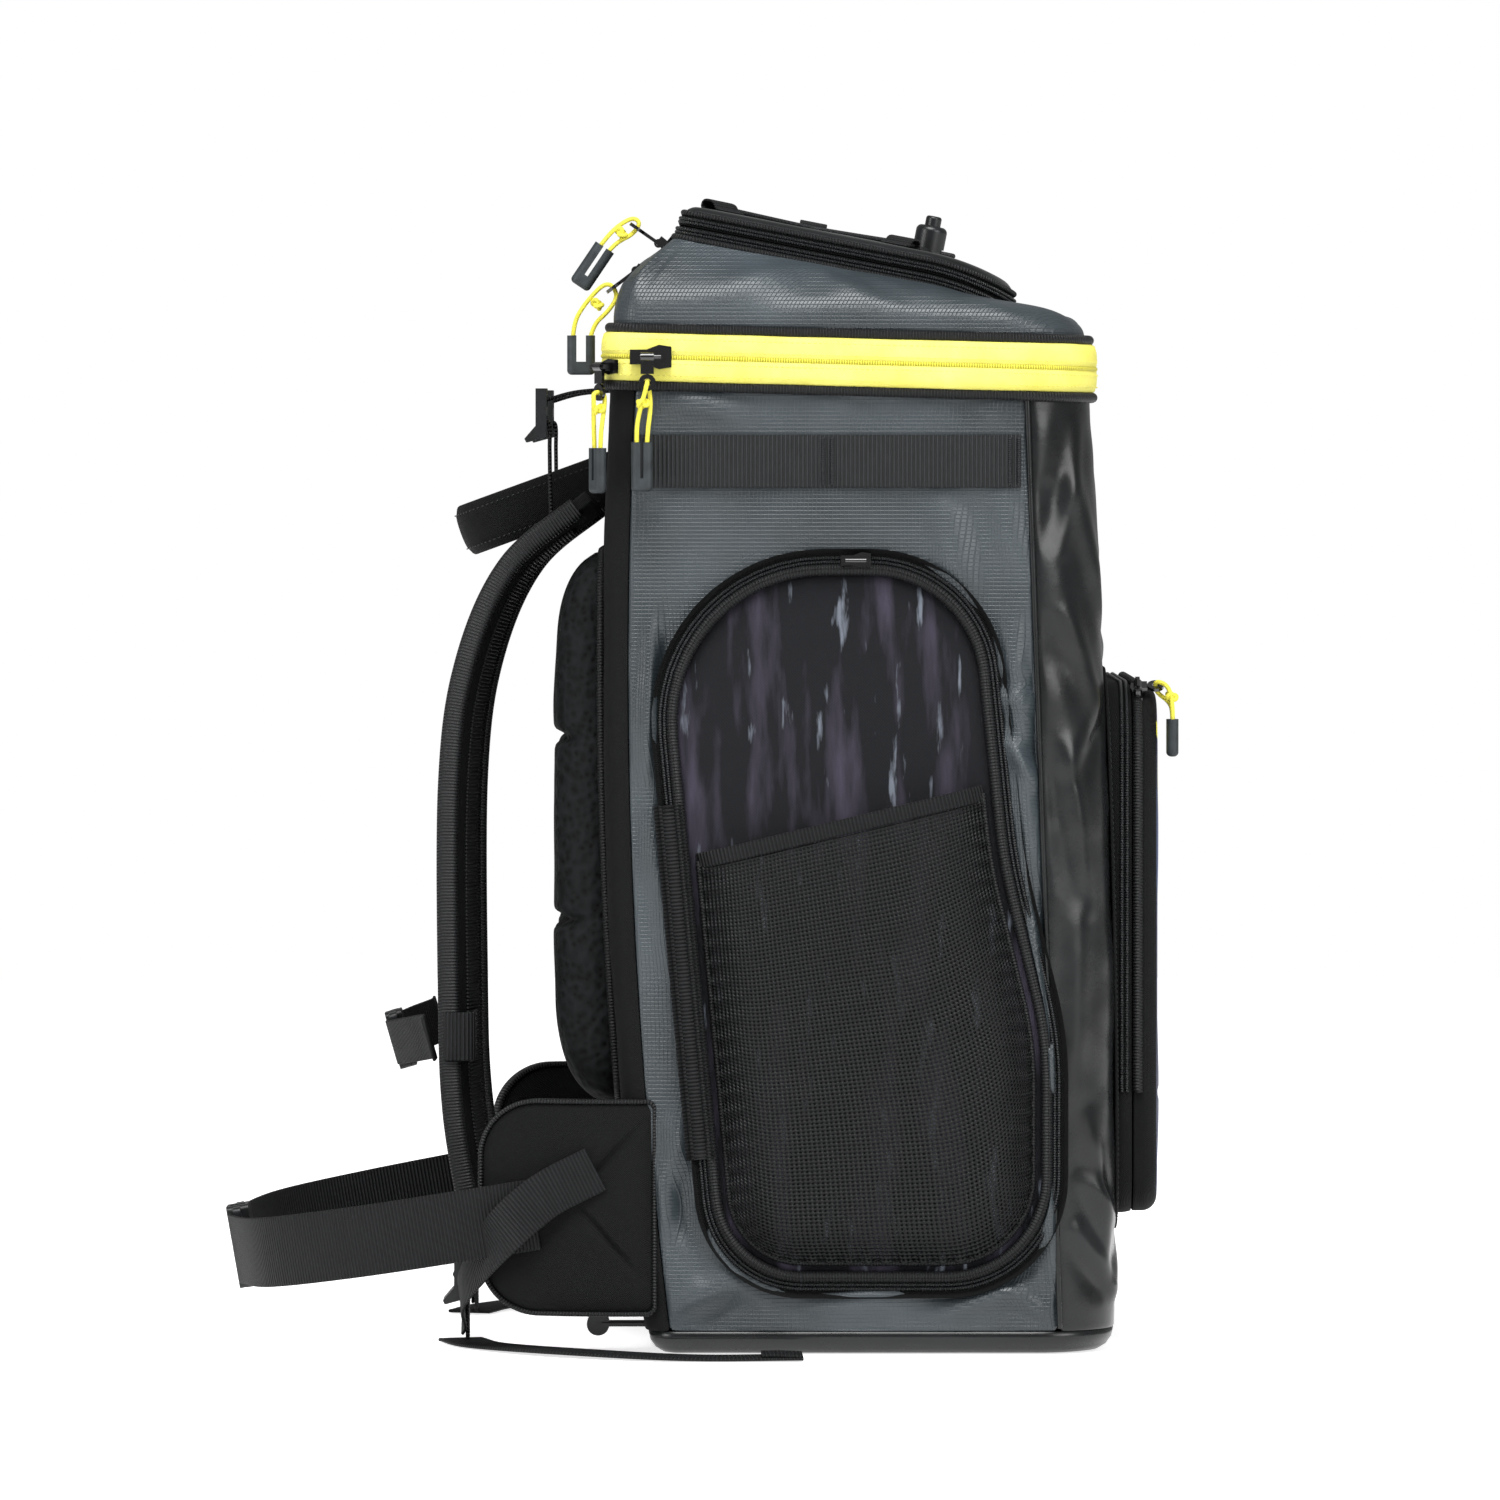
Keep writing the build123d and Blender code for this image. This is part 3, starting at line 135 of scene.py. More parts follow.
paper_matte = add_node(paper_tree, "ShaderNodeBsdfDiffuse", {"Color": (0.82, 0.82, 0.82, 1)})
paper_light = add_node(paper_tree, "ShaderNodeEmission", {"Color": (1, 1, 1, 1), "Strength": paper_glow})
paper_parts = {0: paper_matte.outputs[0], 1: paper_light.outputs[0]}
paper_both = add_node(paper_tree, "ShaderNodeAddShader", paper_parts)
add_node(paper_tree, "ShaderNodeOutputMaterial", {"Surface": paper_both.outputs[0]})
floor_mesh.materials.append(paper)

# ---------------------------------------------------------------- pull cords, knots, grips and metal pulls
# Each zip pull has a loop of round lemon cord through its eye, tied once and moulded into a rubber grip.
# The sliders and pulls are die-cast and enamelled gloss black; the grips are matte slate rubber.
cord_wide = 2.4


def new_material(name, base, rough, gloss=0.5):
    """Material of one finish, with its tree and its shader."""
    material = bpy.data.materials.new(name)
    material.use_nodes = True
    tree = material.node_tree
    tree.nodes.clear()
    shader = add_node(tree, "ShaderNodeBsdfPrincipled", {"Base Color": linear(base), "Roughness": rough})
    shader.inputs["Specular IOR Level"].default_value = gloss
    add_node(tree, "ShaderNodeOutputMaterial", {"Surface": shader.outputs[0]})
    return material, tree, shader


def object_mm(tree):
    """Object coordinates in millimetres."""
    spot = add_node(tree, "ShaderNodeTexCoord").outputs["Object"]
    return add_node(tree, "ShaderNodeVectorMath", {0: spot, "Scale": 1000.0}, operation="SCALE").outputs[0]


def cloth_mm(tree):
    """The cloth's own map, in millimetres along and across it."""
    return add_node(tree, "ShaderNodeUVMap", uv_map="cloth").outputs[0]


def speckle(tree, spot, grain, detail=3.0):
    """Noise whose grain is about that many millimetres."""
    return add_node(
        tree, "ShaderNodeTexNoise", {"Vector": spot, "Scale": 1 / grain, "Detail": detail}
    ).outputs["Fac"]


def ripple(tree, value, pitch):
    """Sine of a length in millimetres that repeats each pitch."""
    return maths(tree, "SINE", maths(tree, "MULTIPLY", value, 2 * pi / pitch))


def dent(tree, shader, height, deep):
    """Bump of a height field, deep millimetres from its lowest to its highest."""
    bump = add_node(tree, "ShaderNodeBump", {"Height": height, "Distance": deep / 1000, "Strength": 1.0})
    tree.links.new(bump.outputs[0], shader.inputs["Normal"])


def shaded(tree, shader, height, low, high, dark, light):
    """Colour that runs from dark to light as height goes from low to high."""
    span = {"Value": height, "From Min": low, "From Max": high}
    share = add_node(tree, "ShaderNodeMapRange", span).outputs[0]
    colour = tinted(tree, share, linear(dark), light)
    tree.links.new(colour, shader.inputs["Base Color"])
    return colour


def with_speckle(tree, height, spot, grain, high, detail=3.0):
    """A height field with broader unevenness added."""
    return maths(tree, "ADD", height, maths(tree, "MULTIPLY", speckle(tree, spot, grain, detail), high))


def rubbed(tree, shader, value, low, high):
    """Roughness that runs from low to high with a value."""
    span = add_node(tree, "ShaderNodeMapRange", {"Value": value, "To Min": low, "To Max": high})
    tree.links.new(span.outputs[0], shader.inputs["Roughness"])


def tinted(tree, share, ground, code):
    """Colour that goes from the ground to a sRGB hex code by a share."""
    blend = {0: share, 6: ground, 7: linear(code)}
    return add_node(tree, "ShaderNodeMix", blend, data_type="RGBA").outputs[2]


# lemon cord: a tight round braid whose picks show as fine slanted ridges, with painted shade darkening the
# dips between picks and random tone
lemon_cord, tree, shader = new_material("lemon_cord", "e9df3c", 0.6)
spot = object_mm(tree)
axis = add_node(tree, "ShaderNodeSeparateXYZ", {0: spot}).outputs
slant = maths(tree, "ADD", axis["Z"], maths(tree, "ADD", axis["X"], axis["Y"]))
counter = maths(tree, "SUBTRACT", axis["Z"], maths(tree, "ADD", axis["X"], axis["Y"]))
braid = maths(tree, "MAXIMUM", ripple(tree, slant, 0.9), ripple(tree, counter, 0.9))
dent(tree, shader, braid, 0.07)
# painted shade: the colour follows the braid's height, darker in its dips, plus random tone
shaded(tree, shader, maths(tree, "ADD", braid, speckle(tree, spot, 5.0)), 0.2, 1.5, "cfc532", "ebe24a")

# gloss enamel: black, mirror-like, with the faint orange peel of a dipped finish
enamel, tree, shader = new_material("gloss_enamel", "060607", 0.1)
shader.inputs["Coat Weight"].default_value = 0.6
shader.inputs["Coat Roughness"].default_value = 0.05
spot = object_mm(tree)
dent(tree, shader, speckle(tree, spot, 1.2), 0.03)
rubbed(tree, shader, speckle(tree, spot, 2.5), 0.06, 0.2)

# grip rubber: matte slate with a soft bloom and a fine moulded grain
rubber, tree, shader = new_material("slate_rubber", "23282b", 0.55, 0.35)
spot = object_mm(tree)
dent(tree, shader, speckle(tree, spot, 0.5, 4.0), 0.05)
shaded(tree, shader, speckle(tree, spot, 6.0), 0.3, 0.7, "1d2123", "2c3235")

# black acetal: moulded, satin, with soft grey highlights and a faint flow mottle
acetal, tree, shader = new_material("black_acetal", "0c0d0f", 0.34, 0.4)
spot = object_mm(tree)
dent(tree, shader, speckle(tree, spot, 0.7, 4.0), 0.03)
shaded(tree, shader, speckle(tree, spot, 9.0), 0.35, 0.65, "0a0b0c", "131517")


def dress(material, *nodes):
    """Gives CAD nodes that keep their shape a better material."""
    for node in nodes:
        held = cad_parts[node]
        held.data.materials.clear()
        held.data.materials.append(material)


dress(enamel, "main_slider_front", "main_pull_front", "main_pull_rear", "flap_sliders", "fixed_sliders")
dress(enamel, "flap_pull_upper", "flap_pull_lower", "pouch_slider", "pouch_pull")
dress(rubber, "main_grip_front", "main_grip_rear", "flap_grip_upper", "flap_grip_lower", "pouch_grip")
dress(acetal, "ladder_locks", "waist_socket", "waist_tongue", "sternum_socket", "sternum_tongue")
dress(acetal, "base_toggle", "cord_lock", "cord_lock_button")


def cord_line(name, route, wide, material, cyclic=False):
    """Round cord on one smooth line whose control points are the route's, in millimetres."""
    data = bpy.data.curves.new(name, "CURVE")
    data.dimensions = "3D"
    data.bevel_depth = wide / 2000
    data.bevel_resolution = 5
    data.resolution_u = 10
    data.use_fill_caps = True
    line = data.splines.new("NURBS")
    line.points.add(len(route) - 1)
    for point, (x, y, z) in zip(line.points, route):
        point.co = (x / 1000, y / 1000, z / 1000, 1)
    line.order_u = 3
    line.use_endpoint_u = not cyclic
    line.use_cyclic_u = cyclic
    data.materials.append(material)
    cord = bpy.data.objects.new(name, data)
    scene.collection.objects.link(cord)
    return cord


def knot_route(middle, flat, size):
    """Control points of an overhand knot round a cord: three lobes in the plane across flat."""
    turn = Vector((0, 0, 1)).rotation_difference(Vector(flat)).to_matrix()
    points = []
    for step in range(18):
        a = 2 * pi * step / 18
        lobe = Vector((sin(a) + 2 * sin(2 * a), cos(a) - 2 * cos(2 * a), -1.5 * sin(3 * a))) * size
        points.append(Vector(middle) + turn @ lobe)
    return points


# each row: cord, grip, body, length in metres, place and facing of its knot, and its route
pull_cords = (
    (
        "main_cord_front", "main_grip_front", "pull_front", 0.081, (-198.0, 122.9, 504.5), (0.1, 0.1, 1),
        (
            (-197.2, 125.6, 478), (-197.0, 126.3, 490), (-198.6, 124.0, 502), (-200.2, 121.4, 510.5),
            (-200.2, 120.3, 515.6), (-193.0, 120.3, 515.6), (-193.8, 118.6, 508), (-196.6, 118.8, 499),
            (-197.4, 120.2, 489), (-197.2, 120.6, 478),
        ),
    ),
    (
        "main_cord_rear", "main_grip_rear", "pull_rear", 0.077, (-185.8, 146.3, 501.5), (-0.1, 0.3, 1),
        (
            (-183.3, 148.2, 475), (-183.0, 148.6, 487), (-184.9, 148.8, 498), (-187.4, 148.7, 506),
            (-187.0, 148.9, 510.5), (-182.8, 143.0, 510.5), (-184.3, 142.9, 503.5), (-187.0, 144.2, 495),
            (-188.0, 145.1, 486), (-187.5, 145.2, 475),
        ),
    ),
    (
        "flap_cord_upper", "flap_grip_upper", "flap_pull_upper", 0.061, (-130, 134.6, 595.6), (0, 0.8, -0.6),
        (
            (-130, 149.0, 584.6), (-130, 145.7, 589.6), (-130, 138.0, 598.6), (-130, 128.7, 604.4),
            (-130, 124.3, 601.2), (-130, 128.7, 595.0), (-130, 135.8, 591.6), (-130, 141.3, 586.6),
            (-130, 144.7, 581.7),
        ),
    ),
    (
        "flap_cord_lower", "flap_grip_lower", "flap_pull_lower", 0.078,
        (-142, 147.2, 557.5), (0, 0.62, -0.78),
        (
            (-142, 160.3, 536.0), (-142, 160.7, 547.0), (-142, 153.0, 559.5), (-142, 141.9, 570.5),
            (-142, 135.9, 562.5), (-142, 141.5, 553.8), (-142, 150.2, 546.2), (-142, 151.8, 536.0),
        ),
    ),
    (
        "pouch_cord", "pouch_grip", "pouch_pull", 0.059, (-126.3, -159.2, 348.0), (0.1, -0.2, 1),
        (
            (-129.5, -160.0, 331.0), (-129.3, -160.3, 341.0), (-127.8, -158.5, 353.5),
            (-125.7, -151.0, 357.0), (-121.9, -151.0, 350.6), (-123.5, -159.0, 345.0),
            (-124.4, -160.3, 338.5), (-124.5, -160.0, 331.0),
        ),
    ),
)
for node, grip, body, length, knot_spot, knot_flat, route in pull_cords:
    pull_loop = cord_line("lemon_" + node, route, cord_wide, lemon_cord)
    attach(pull_loop, body)
    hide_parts(node)
    knot_line = knot_route(knot_spot, knot_flat, 1.05)
    knot = cord_line("knot_" + node, knot_line, cord_wide, lemon_cord, cyclic=True)
    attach(knot, body)
    [part / 1000 for part in route[0]]

# ---------------------------------------------------------------- sack panels
# The sides are matte slate tarpaulin with a fine ripstop grid; the front and base are gloss black tarpaulin.
# Flat panels are sewn together inside out, so each pulls into soft folds towards its seams and the doors.
half = 185
rim_height, rim_slope = 526, tan(radians(1.5))
band_half = 13
base_seam = 12
front_corner, back_corner = 42, 16
sack_core = Vector((0, 10, 280))
sides = ((-1, "left"), (1, "right"))
mm = 0.001


def bowed(z, low, middle, high):
    """Value at height z of the gentle arc through the sack's foot, middle and top."""
    foot = (z - 300) * (z - 546) / (300 * 546)
    waist = -z * (z - 546) / (300 * 246)
    head = z * (z - 300) / (546 * 246)
    return foot * low + waist * middle + head * high


def front_y(z):
    """Front of the sack at height z."""
    return bowed(z, -128, -125, -112)


def back_y(z):
    """Back of the sack at height z."""
    return bowed(z, 120, 143, 138)


def rim_z(y):
    """Height of the main zip above the floor."""
    return rim_height + y * rim_slope


def blank():
    """Empty mesh under construction with a map for the cloth's own millimetres."""
    made = bmesh.new()
    made.loops.layers.uv.new("cloth")
    return made


def finish_piece(name, made, material, body, slot, replaces=()):
    """Writes a mesh in metres as an object that rides on a body, if one is named, and takes a finish."""
    bmesh.ops.scale(made, vec=(mm, mm, mm), verts=made.verts)
    mesh = bpy.data.meshes.new(name)
    made.to_mesh(mesh)
    made.free()
    for face in mesh.polygons:
        face.use_smooth = True
    mesh.materials.append(material)
    made_piece = bpy.data.objects.new(name, mesh)
    scene.collection.objects.link(made_piece)
    if body:
        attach(made_piece, body)
    if replaces:
        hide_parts(*replaces)
    return made_piece


def grid(columns, rows, place, span, core=sack_core, weld=False):
    """Sheet of columns by rows cells: place(u, v) is each corner, and span its size, all in millimetres."""
    made = blank()
    layer = made.loops.layers.uv.verify()
    bmesh.ops.create_grid(made, x_segments=columns, y_segments=rows, size=0.5)
    for face in made.faces:
        for loop in face.loops:
            loop[layer].uv = ((loop.vert.co.x + 0.5) * span[0], (loop.vert.co.y + 0.5) * span[1])
    for vert in made.verts:
        vert.co = place(vert.co.x + 0.5, vert.co.y + 0.5)
    if weld:
        bmesh.ops.remove_doubles(made, verts=made.verts, dist=0.02)
    made.normal_update()
    if core is None:
        bmesh.ops.recalc_face_normals(made, faces=made.faces)
    elif sum(face.normal.dot(face.calc_center_median() - core) * face.calc_area() for face in made.faces) < 0:
        bmesh.ops.reverse_faces(made, faces=made.faces)
    return made


def add_modifier(piece, kind, **settings):
    """Adds a modifier to a piece and sets it."""
    modifier = piece.modifiers.new(kind.lower(), kind)
    for name, value in settings.items():
        setattr(modifier, name, value)
    return modifier


def thicken(piece, thick, levels=1):
    """Gives a sheet its thickness on the inside and rounds its cells."""
    add_modifier(piece, "SOLIDIFY", thickness=thick * mm, offset=-1, use_even_offset=False)
    if levels:
        add_modifier(piece, "SUBSURF", levels=levels, render_levels=levels)


def eased(share):
    """Smooth step from 0 to 1."""
    held = min(max(share, 0), 1)
    return held * held * (3 - 2 * held)


def mottle(a, b, grain, seed):
    """Soft hills and dales about that many millimetres across, from -1 to 1."""
    return noise.noise(Vector((a / grain, b / grain, seed)))


def creased(a, b, creases):
    """Height at (a, b) of folds, each (from a, from b, to a, to b, half width, height) with a dip by it."""
    height = 0
    for from_a, from_b, to_a, to_b, wide, high in creases:
        run_a, run_b = to_a - from_a, to_b - from_b
        long = hypot(run_a, run_b)
        along = ((a - from_a) * run_a + (b - from_b) * run_b) / long**2
        if not 0 < along < 1:
            continue
        off = ((a - from_a) * run_b - (b - from_b) * run_a) / long
        if abs(off) > 6 * wide:
            continue
        ridge = exp(-((off / wide) ** 2)) - 0.55 * exp(-(((off - 1.8 * wide) / (1.2 * wide)) ** 2))
        height += high * sin(pi * along) ** 0.7 * ridge
    return height


def spline(points, count, closed=False):
    """Points along a smooth line through the given ones."""
    points = [Vector(point) for point in points]
    total = len(points) if closed else len(points) - 1
    if not closed:
        points = [2 * points[0] - points[1], *points, 2 * points[-1] - points[-2]]
    line = []
    for step in range(count):
        at = total * step / (count if closed else count - 1)
        part = min(int(at), total - 1)
        t = at - part
        if closed:
            a, b, c, d = (points[(part + turn) % total] for turn in (-1, 0, 1, 2))
        else:
            a, b, c, d = points[part : part + 4]
        bend = a * (-t + 2 * t * t - t**3) + b * (2 - 5 * t * t + 3 * t**3)
        line.append((bend + c * (t + 4 * t * t - 3 * t**3) + d * (t**3 - t * t)) / 2)
    return line


def evenly(points, count, closed=False):
    """The same line as count points the same distance apart."""
    ring = [*points, points[0]] if closed else list(points)
    reach = [0]
    for here, there in zip(ring, ring[1:]):
        reach.append(reach[-1] + (there - here).length)
    line, at = [], 0
    for step in range(count):
        goal = reach[-1] * step / (count if closed else count - 1)
        while at < len(ring) - 2 and reach[at + 1] < goal:
            at += 1
        share = (goal - reach[at]) / max(reach[at + 1] - reach[at], 1e-9)
        line.append(ring[at].lerp(ring[at + 1], share))
    return line


def rounded(corners, radii, steps=12):
    """Closed outline through corners, each rounded to its radius in steps."""
    outline = []
    corners = [Vector(corner) for corner in corners]
    for at, (here, radius) in enumerate(zip(corners, radii)):
        back = (corners[at - 1] - here).normalized()
        on = (corners[(at + 1) % len(corners)] - here).normalized()
        half_angle = back.angle(on) / 2
        centre = here + (back + on).normalized() * radius / sin(half_angle)
        start = here + back * radius / tan(half_angle) - centre
        end = here + on * radius / tan(half_angle) - centre
        turns = [start.slerp(end, step / steps).normalized() for step in range(steps + 1)]
        outline += [centre + turn * radius for turn in turns]
    return outline


def grown(outline, amount):
    """Closed outline moved outwards by an amount; it runs either way round."""
    area = sum(a.x * b.y - b.x * a.y for a, b in zip(outline, outline[1:] + outline[:1]))
    sign = 1 if area > 0 else -1
    moved = []
    for at, here in enumerate(outline):
        run = (outline[(at + 1) % len(outline)] - outline[at - 1]).normalized()
        moved.append(here + Vector((run.y, -run.x)) * sign * amount)
    return moved


hinge_slope = 17 / 182
door_corners = (
    (86 - hinge_slope * 66, 42),
    (86 + hinge_slope * 308, 416),
    (-52, 416),
    (-68, 262),
    (-91, 168),
    (-91, 42),
)
door_steps = 240
door_outline = evenly(rounded(door_corners, (45, 80, 60, 300, 200, 52)), door_steps, closed=True)

# slate tarpaulin: matte coating over a fine ripstop grid, slightly uneven in tone, with soft broad highlights
tarpaulin_slate, tree, shader = new_material("slate_tarpaulin", "22282b", 0.36, 0.5)
spot = object_mm(tree)
axis = add_node(tree, "ShaderNodeSeparateXYZ", {0: spot}).outputs
across = maths(tree, "ADD", axis["X"], axis["Y"])
ripstop = maths(tree, "MAXIMUM", ripple(tree, across, 2.1), ripple(tree, axis["Z"], 2.1))
grid_lines = maths(tree, "POWER", maths(tree, "MAXIMUM", ripstop, 0.0), 6.0)
patchy = speckle(tree, spot, 70.0, 4.0)
tone = maths(tree, "SUBTRACT", patchy, maths(tree, "MULTIPLY", grid_lines, 0.09))
shaded(tree, shader, tone, 0.3, 0.72, "20272a", "353d42")
dent(tree, shader, with_speckle(tree, grid_lines, spot, 9.0, 3.0, 5.0), 0.16)
rubbed(tree, shader, patchy, 0.3, 0.46)

# black tarpaulin: the same cloth with a gloss coating that mirrors the lamps in long broken streaks
tarpaulin_black, tree, shader = new_material("black_tarpaulin", "0c0d0e", 0.22, 0.34)
spot = object_mm(tree)
crinkle = with_speckle(tree, speckle(tree, spot, 55.0, 2.0), spot, 3.0, 0.03)
dent(tree, shader, crinkle, 1.6)
shaded(tree, shader, speckle(tree, spot, 40.0, 4.0), 0.3, 0.7, "090a0b", "121415")
rubbed(tree, shader, speckle(tree, spot, 14.0, 4.0), 0.2, 0.36)


def front_seam_y(z):
    """Seam between a side and the front, which leans back towards the rim."""
    return -99 + 19 * z / rim_height


# folds of the left side as (y, z) pairs; the right side takes them with another mottle
side_creases = (
    (-60, 512, -72, 420, 9, 3.0), (-30, 505, -48, 380, 10, 2.6), (30, 512, 10, 470, 9, 1.6),
    (-72, 400, -84, 240, 7, 4.0), (-66, 330, -90, 300, 4, 3.2), (-62, 350, -92, 345, 4, 2.6),
    (-80, 250, -98, 120, 5, 3.4), (-88, 130, -97, 30, 6, 2.8), (100, 140, 116, 60, 8, 3.0),
    (112, 120, 90, 36, 7, -2.2), (70, 42, 110, 22, 8, 3.0), (40, 24, -20, 32, 9, 2.8),
    (-30, 20, -90, 40, 6, 3.4), (-60, 40, -98, 18, 4, 1.8), (118, 400, 122, 300, 5, 2.6),
    (120, 300, 108, 200, 6, 2.8), (110, 508, 60, 494, 6, 2.0), (90, 500, 124, 440, 7, -1.6),
)


def side_drop(y, z):
    """How far the sack's plan has turned in from its side at (y, z)."""
    into_front = front_y(z) + front_corner - y
    into_back = y - back_y(z) + back_corner
    if into_front > 0:
        return front_corner - (front_corner**2 - min(into_front, front_corner) ** 2) ** 0.5
    if into_back > 0:
        return back_corner - (back_corner**2 - min(into_back, back_corner) ** 2) ** 0.5
    return 0


panel_middle = Vector((6, 232))


def edge_beyond(point, edge):
    """Where the ray from the door's middle through a point of its outline meets the panel's edge."""
    aim = point - panel_middle
    for here, there in zip(edge, edge[1:] + edge[:1]):
        run = there - here
        cross = aim.x * run.y - aim.y * run.x
        if abs(cross) < 1e-9:
            continue
        gap = here - panel_middle
        reach = (gap.x * run.y - gap.y * run.x) / cross
        share = (gap.x * aim.y - gap.y * aim.x) / cross
        if reach > 0 and -1e-6 <= share <= 1 + 1e-6:
            return panel_middle + aim * reach
    return point


def panel_corner_edge():
    """Edge of a side panel as four sides with their corners."""
    low, high = base_seam, rim_height - band_half + 3
    front = [Vector((front_seam_y(z), z)) for z in (high + (low - high) * step / 30 for step in range(30))]
    back = [Vector((back_y(z) - 13, z)) for z in (low + (high - low) * step / 30 for step in range(30))]
    foot, head = Vector((front_seam_y(low), low)), Vector((back_y(high) - 13, high))
    return [*front, foot, *back, head]


panel_edge = panel_corner_edge()
panel_hole = grown(door_outline, 3)
panel_rim = [edge_beyond(point, panel_edge) for point in panel_hole]
for corner in (panel_edge[0], panel_edge[30], panel_edge[31], panel_edge[-1]):
    nearest = min(range(len(panel_rim)), key=lambda at: (panel_rim[at] - corner).length)
    panel_rim[nearest] = corner

for side, hand in sides:

    def side_place(u, v):
        at = round(u * door_steps) % door_steps
        flat = panel_hole[at].lerp(panel_rim[at], v)
        y, z = flat
        held = eased(v / 0.12) * eased((1 - v) / 0.1)
        swell = 1.5 * creased(y, z, side_creases)
        swell = swell + 2.0 * mottle(y, z, 62, 3 + side) + 0.8 * mottle(y, z, 22, 7 + side)
        strapped = eased((abs(z - 474) - 14) / 16) if y > -84 else 1
        held *= strapped
        tuck = 0.8 * (1 - eased((1 - v) / 0.05))
        return Vector((side * (half - side_drop(y, z) + 0.4 + swell * held - tuck), y, z))

    made = grid(door_steps, 30, side_place, (1100, 70), weld=True)
    stands_for = ["side_panel_" + hand]
    name = "side_cloth_" + hand
    side_cloth = finish_piece(name, made, tarpaulin_slate, "pack", "tarpaulin_grey", stands_for)
    thicken(side_cloth, 2.0)

front_creases = (
    (-176, 470, -150, 380, 8, 3.2), (-168, 500, -186, 420, 6, 2.4), (-186, 400, -160, 330, 7, 2.6),
    (-150, 350, -184, 300, 6, -2.0), (-188, 330, -176, 230, 6, 2.8), (-182, 240, -190, 130, 7, 2.4),
    (-150, 66, -188, 96, 6, 2.6), (-180, 130, -160, 40, 6, 3.0), (-190, 70, -150, 26, 6, 2.8),
    (-120, 60, -170, 22, 7, 2.4), (-60, 50, 40, 30, 9, 2.0), (60, 62, 150, 30, 8, 2.4),
    (-110, 430, -30, 410, 12, 2.4), (20, 480, 120, 430, 12, 2.6), (-40, 500, 60, 486, 9, 1.8),
    (150, 470, 178, 350, 8, 3.0), (186, 330, 168, 210, 7, 2.4), (178, 200, 190, 90, 7, 2.4),
    (140, 390, 60, 372, 8, 2.0), (-140, 380, -70, 366, 7, 1.8),
)


def panel_z(v, face_y):
    """Height at a share of the way from the base's seam up to the band."""
    top = rim_z(face_y(rim_height)) - band_half + 3
    return base_seam + v * (top - base_seam)


def wrapped(u, z, face_y, corner, turn, towards):
    """Place along, middle and way out of a panel that turns round the sack's corners at both its edges."""
    flat = half - corner
    along = (2 * u - 1) * (flat + corner * turn)
    bend = max(abs(along) - flat, 0) / corner
    sign = 1 if along > 0 else -1
    x = sign * (min(abs(along), flat) + corner * sin(bend))
    y = face_y(z) - towards * corner * (1 - cos(bend))
    return along, Vector((x, y, z)), Vector((sign * sin(bend), towards * cos(bend), 0))


def front_place(u, v):
    z = panel_z(v, front_y)
    turn = acos((front_y(z) + front_corner - front_seam_y(z)) / front_corner)
    along, middle, out = wrapped(u, z, front_y, front_corner, turn, -1)
    held = eased((1 - abs(2 * u - 1)) / 0.035) * eased(v / 0.04) * eased((1 - v) / 0.04)
    uneven = creased(along, z, front_creases)
    uneven = uneven + 1.6 * mottle(along, z, 60, 11) + 0.5 * mottle(along, z, 20, 12)
    tuck = 0.8 * (1 - eased((1 - abs(2 * u - 1)) / 0.012))
    return middle + out * (0.4 + held * uneven - tuck)


made = grid(150, 150, front_place, (400, 500))
front_cloth = finish_piece("front_cloth", made, tarpaulin_black, "pack", "tarpaulin_black", ["front_panel"])
thicken(front_cloth, 2.0)

# pack cloth: coarse black plain weave with a dull sheen, on the back, the pouch and the harness; painted
# shade darkens the weave's dips
pack_cloth, tree, shader = new_material("pack_cloth", "090a0a", 0.7, 0.14)
spot = object_mm(tree)
axis = add_node(tree, "ShaderNodeSeparateXYZ", {0: spot}).outputs
warp = ripple(tree, maths(tree, "ADD", axis["X"], axis["Y"]), 1.1)
weft = ripple(tree, axis["Z"], 1.1)
weave = maths(tree, "MULTIPLY", warp, weft)
rough_weave = with_speckle(tree, weave, spot, 14.0, 3.0, 4.0)
dent(tree, shader, rough_weave, 0.22)
# painted shade: the colour follows the weave's height, darker in its dips, plus random tone
shaded(tree, shader, maths(tree, "ADD", weave, speckle(tree, spot, 30.0, 4.0)), -0.4, 1.4, "050505", "0f1011")


def back_place(u, v):
    z = panel_z(v, back_y)
    along, middle, out = wrapped(u, z, back_y, back_corner, acos(3 / back_corner), 1)
    held = eased((1 - abs(2 * u - 1)) / 0.05) * eased(v / 0.04) * eased((1 - v) / 0.04)
    swell = 0.3 + held * (1.0 * mottle(along, z, 70, 21) + 0.3 * mottle(along, z, 18, 22))
    return middle + out * swell


made = grid(110, 120, back_place, (380, 500))
back_cloth = finish_piece("back_cloth", made, pack_cloth, "pack", "nylon_black", ["back_panel"])
thicken(back_cloth, 2.0)


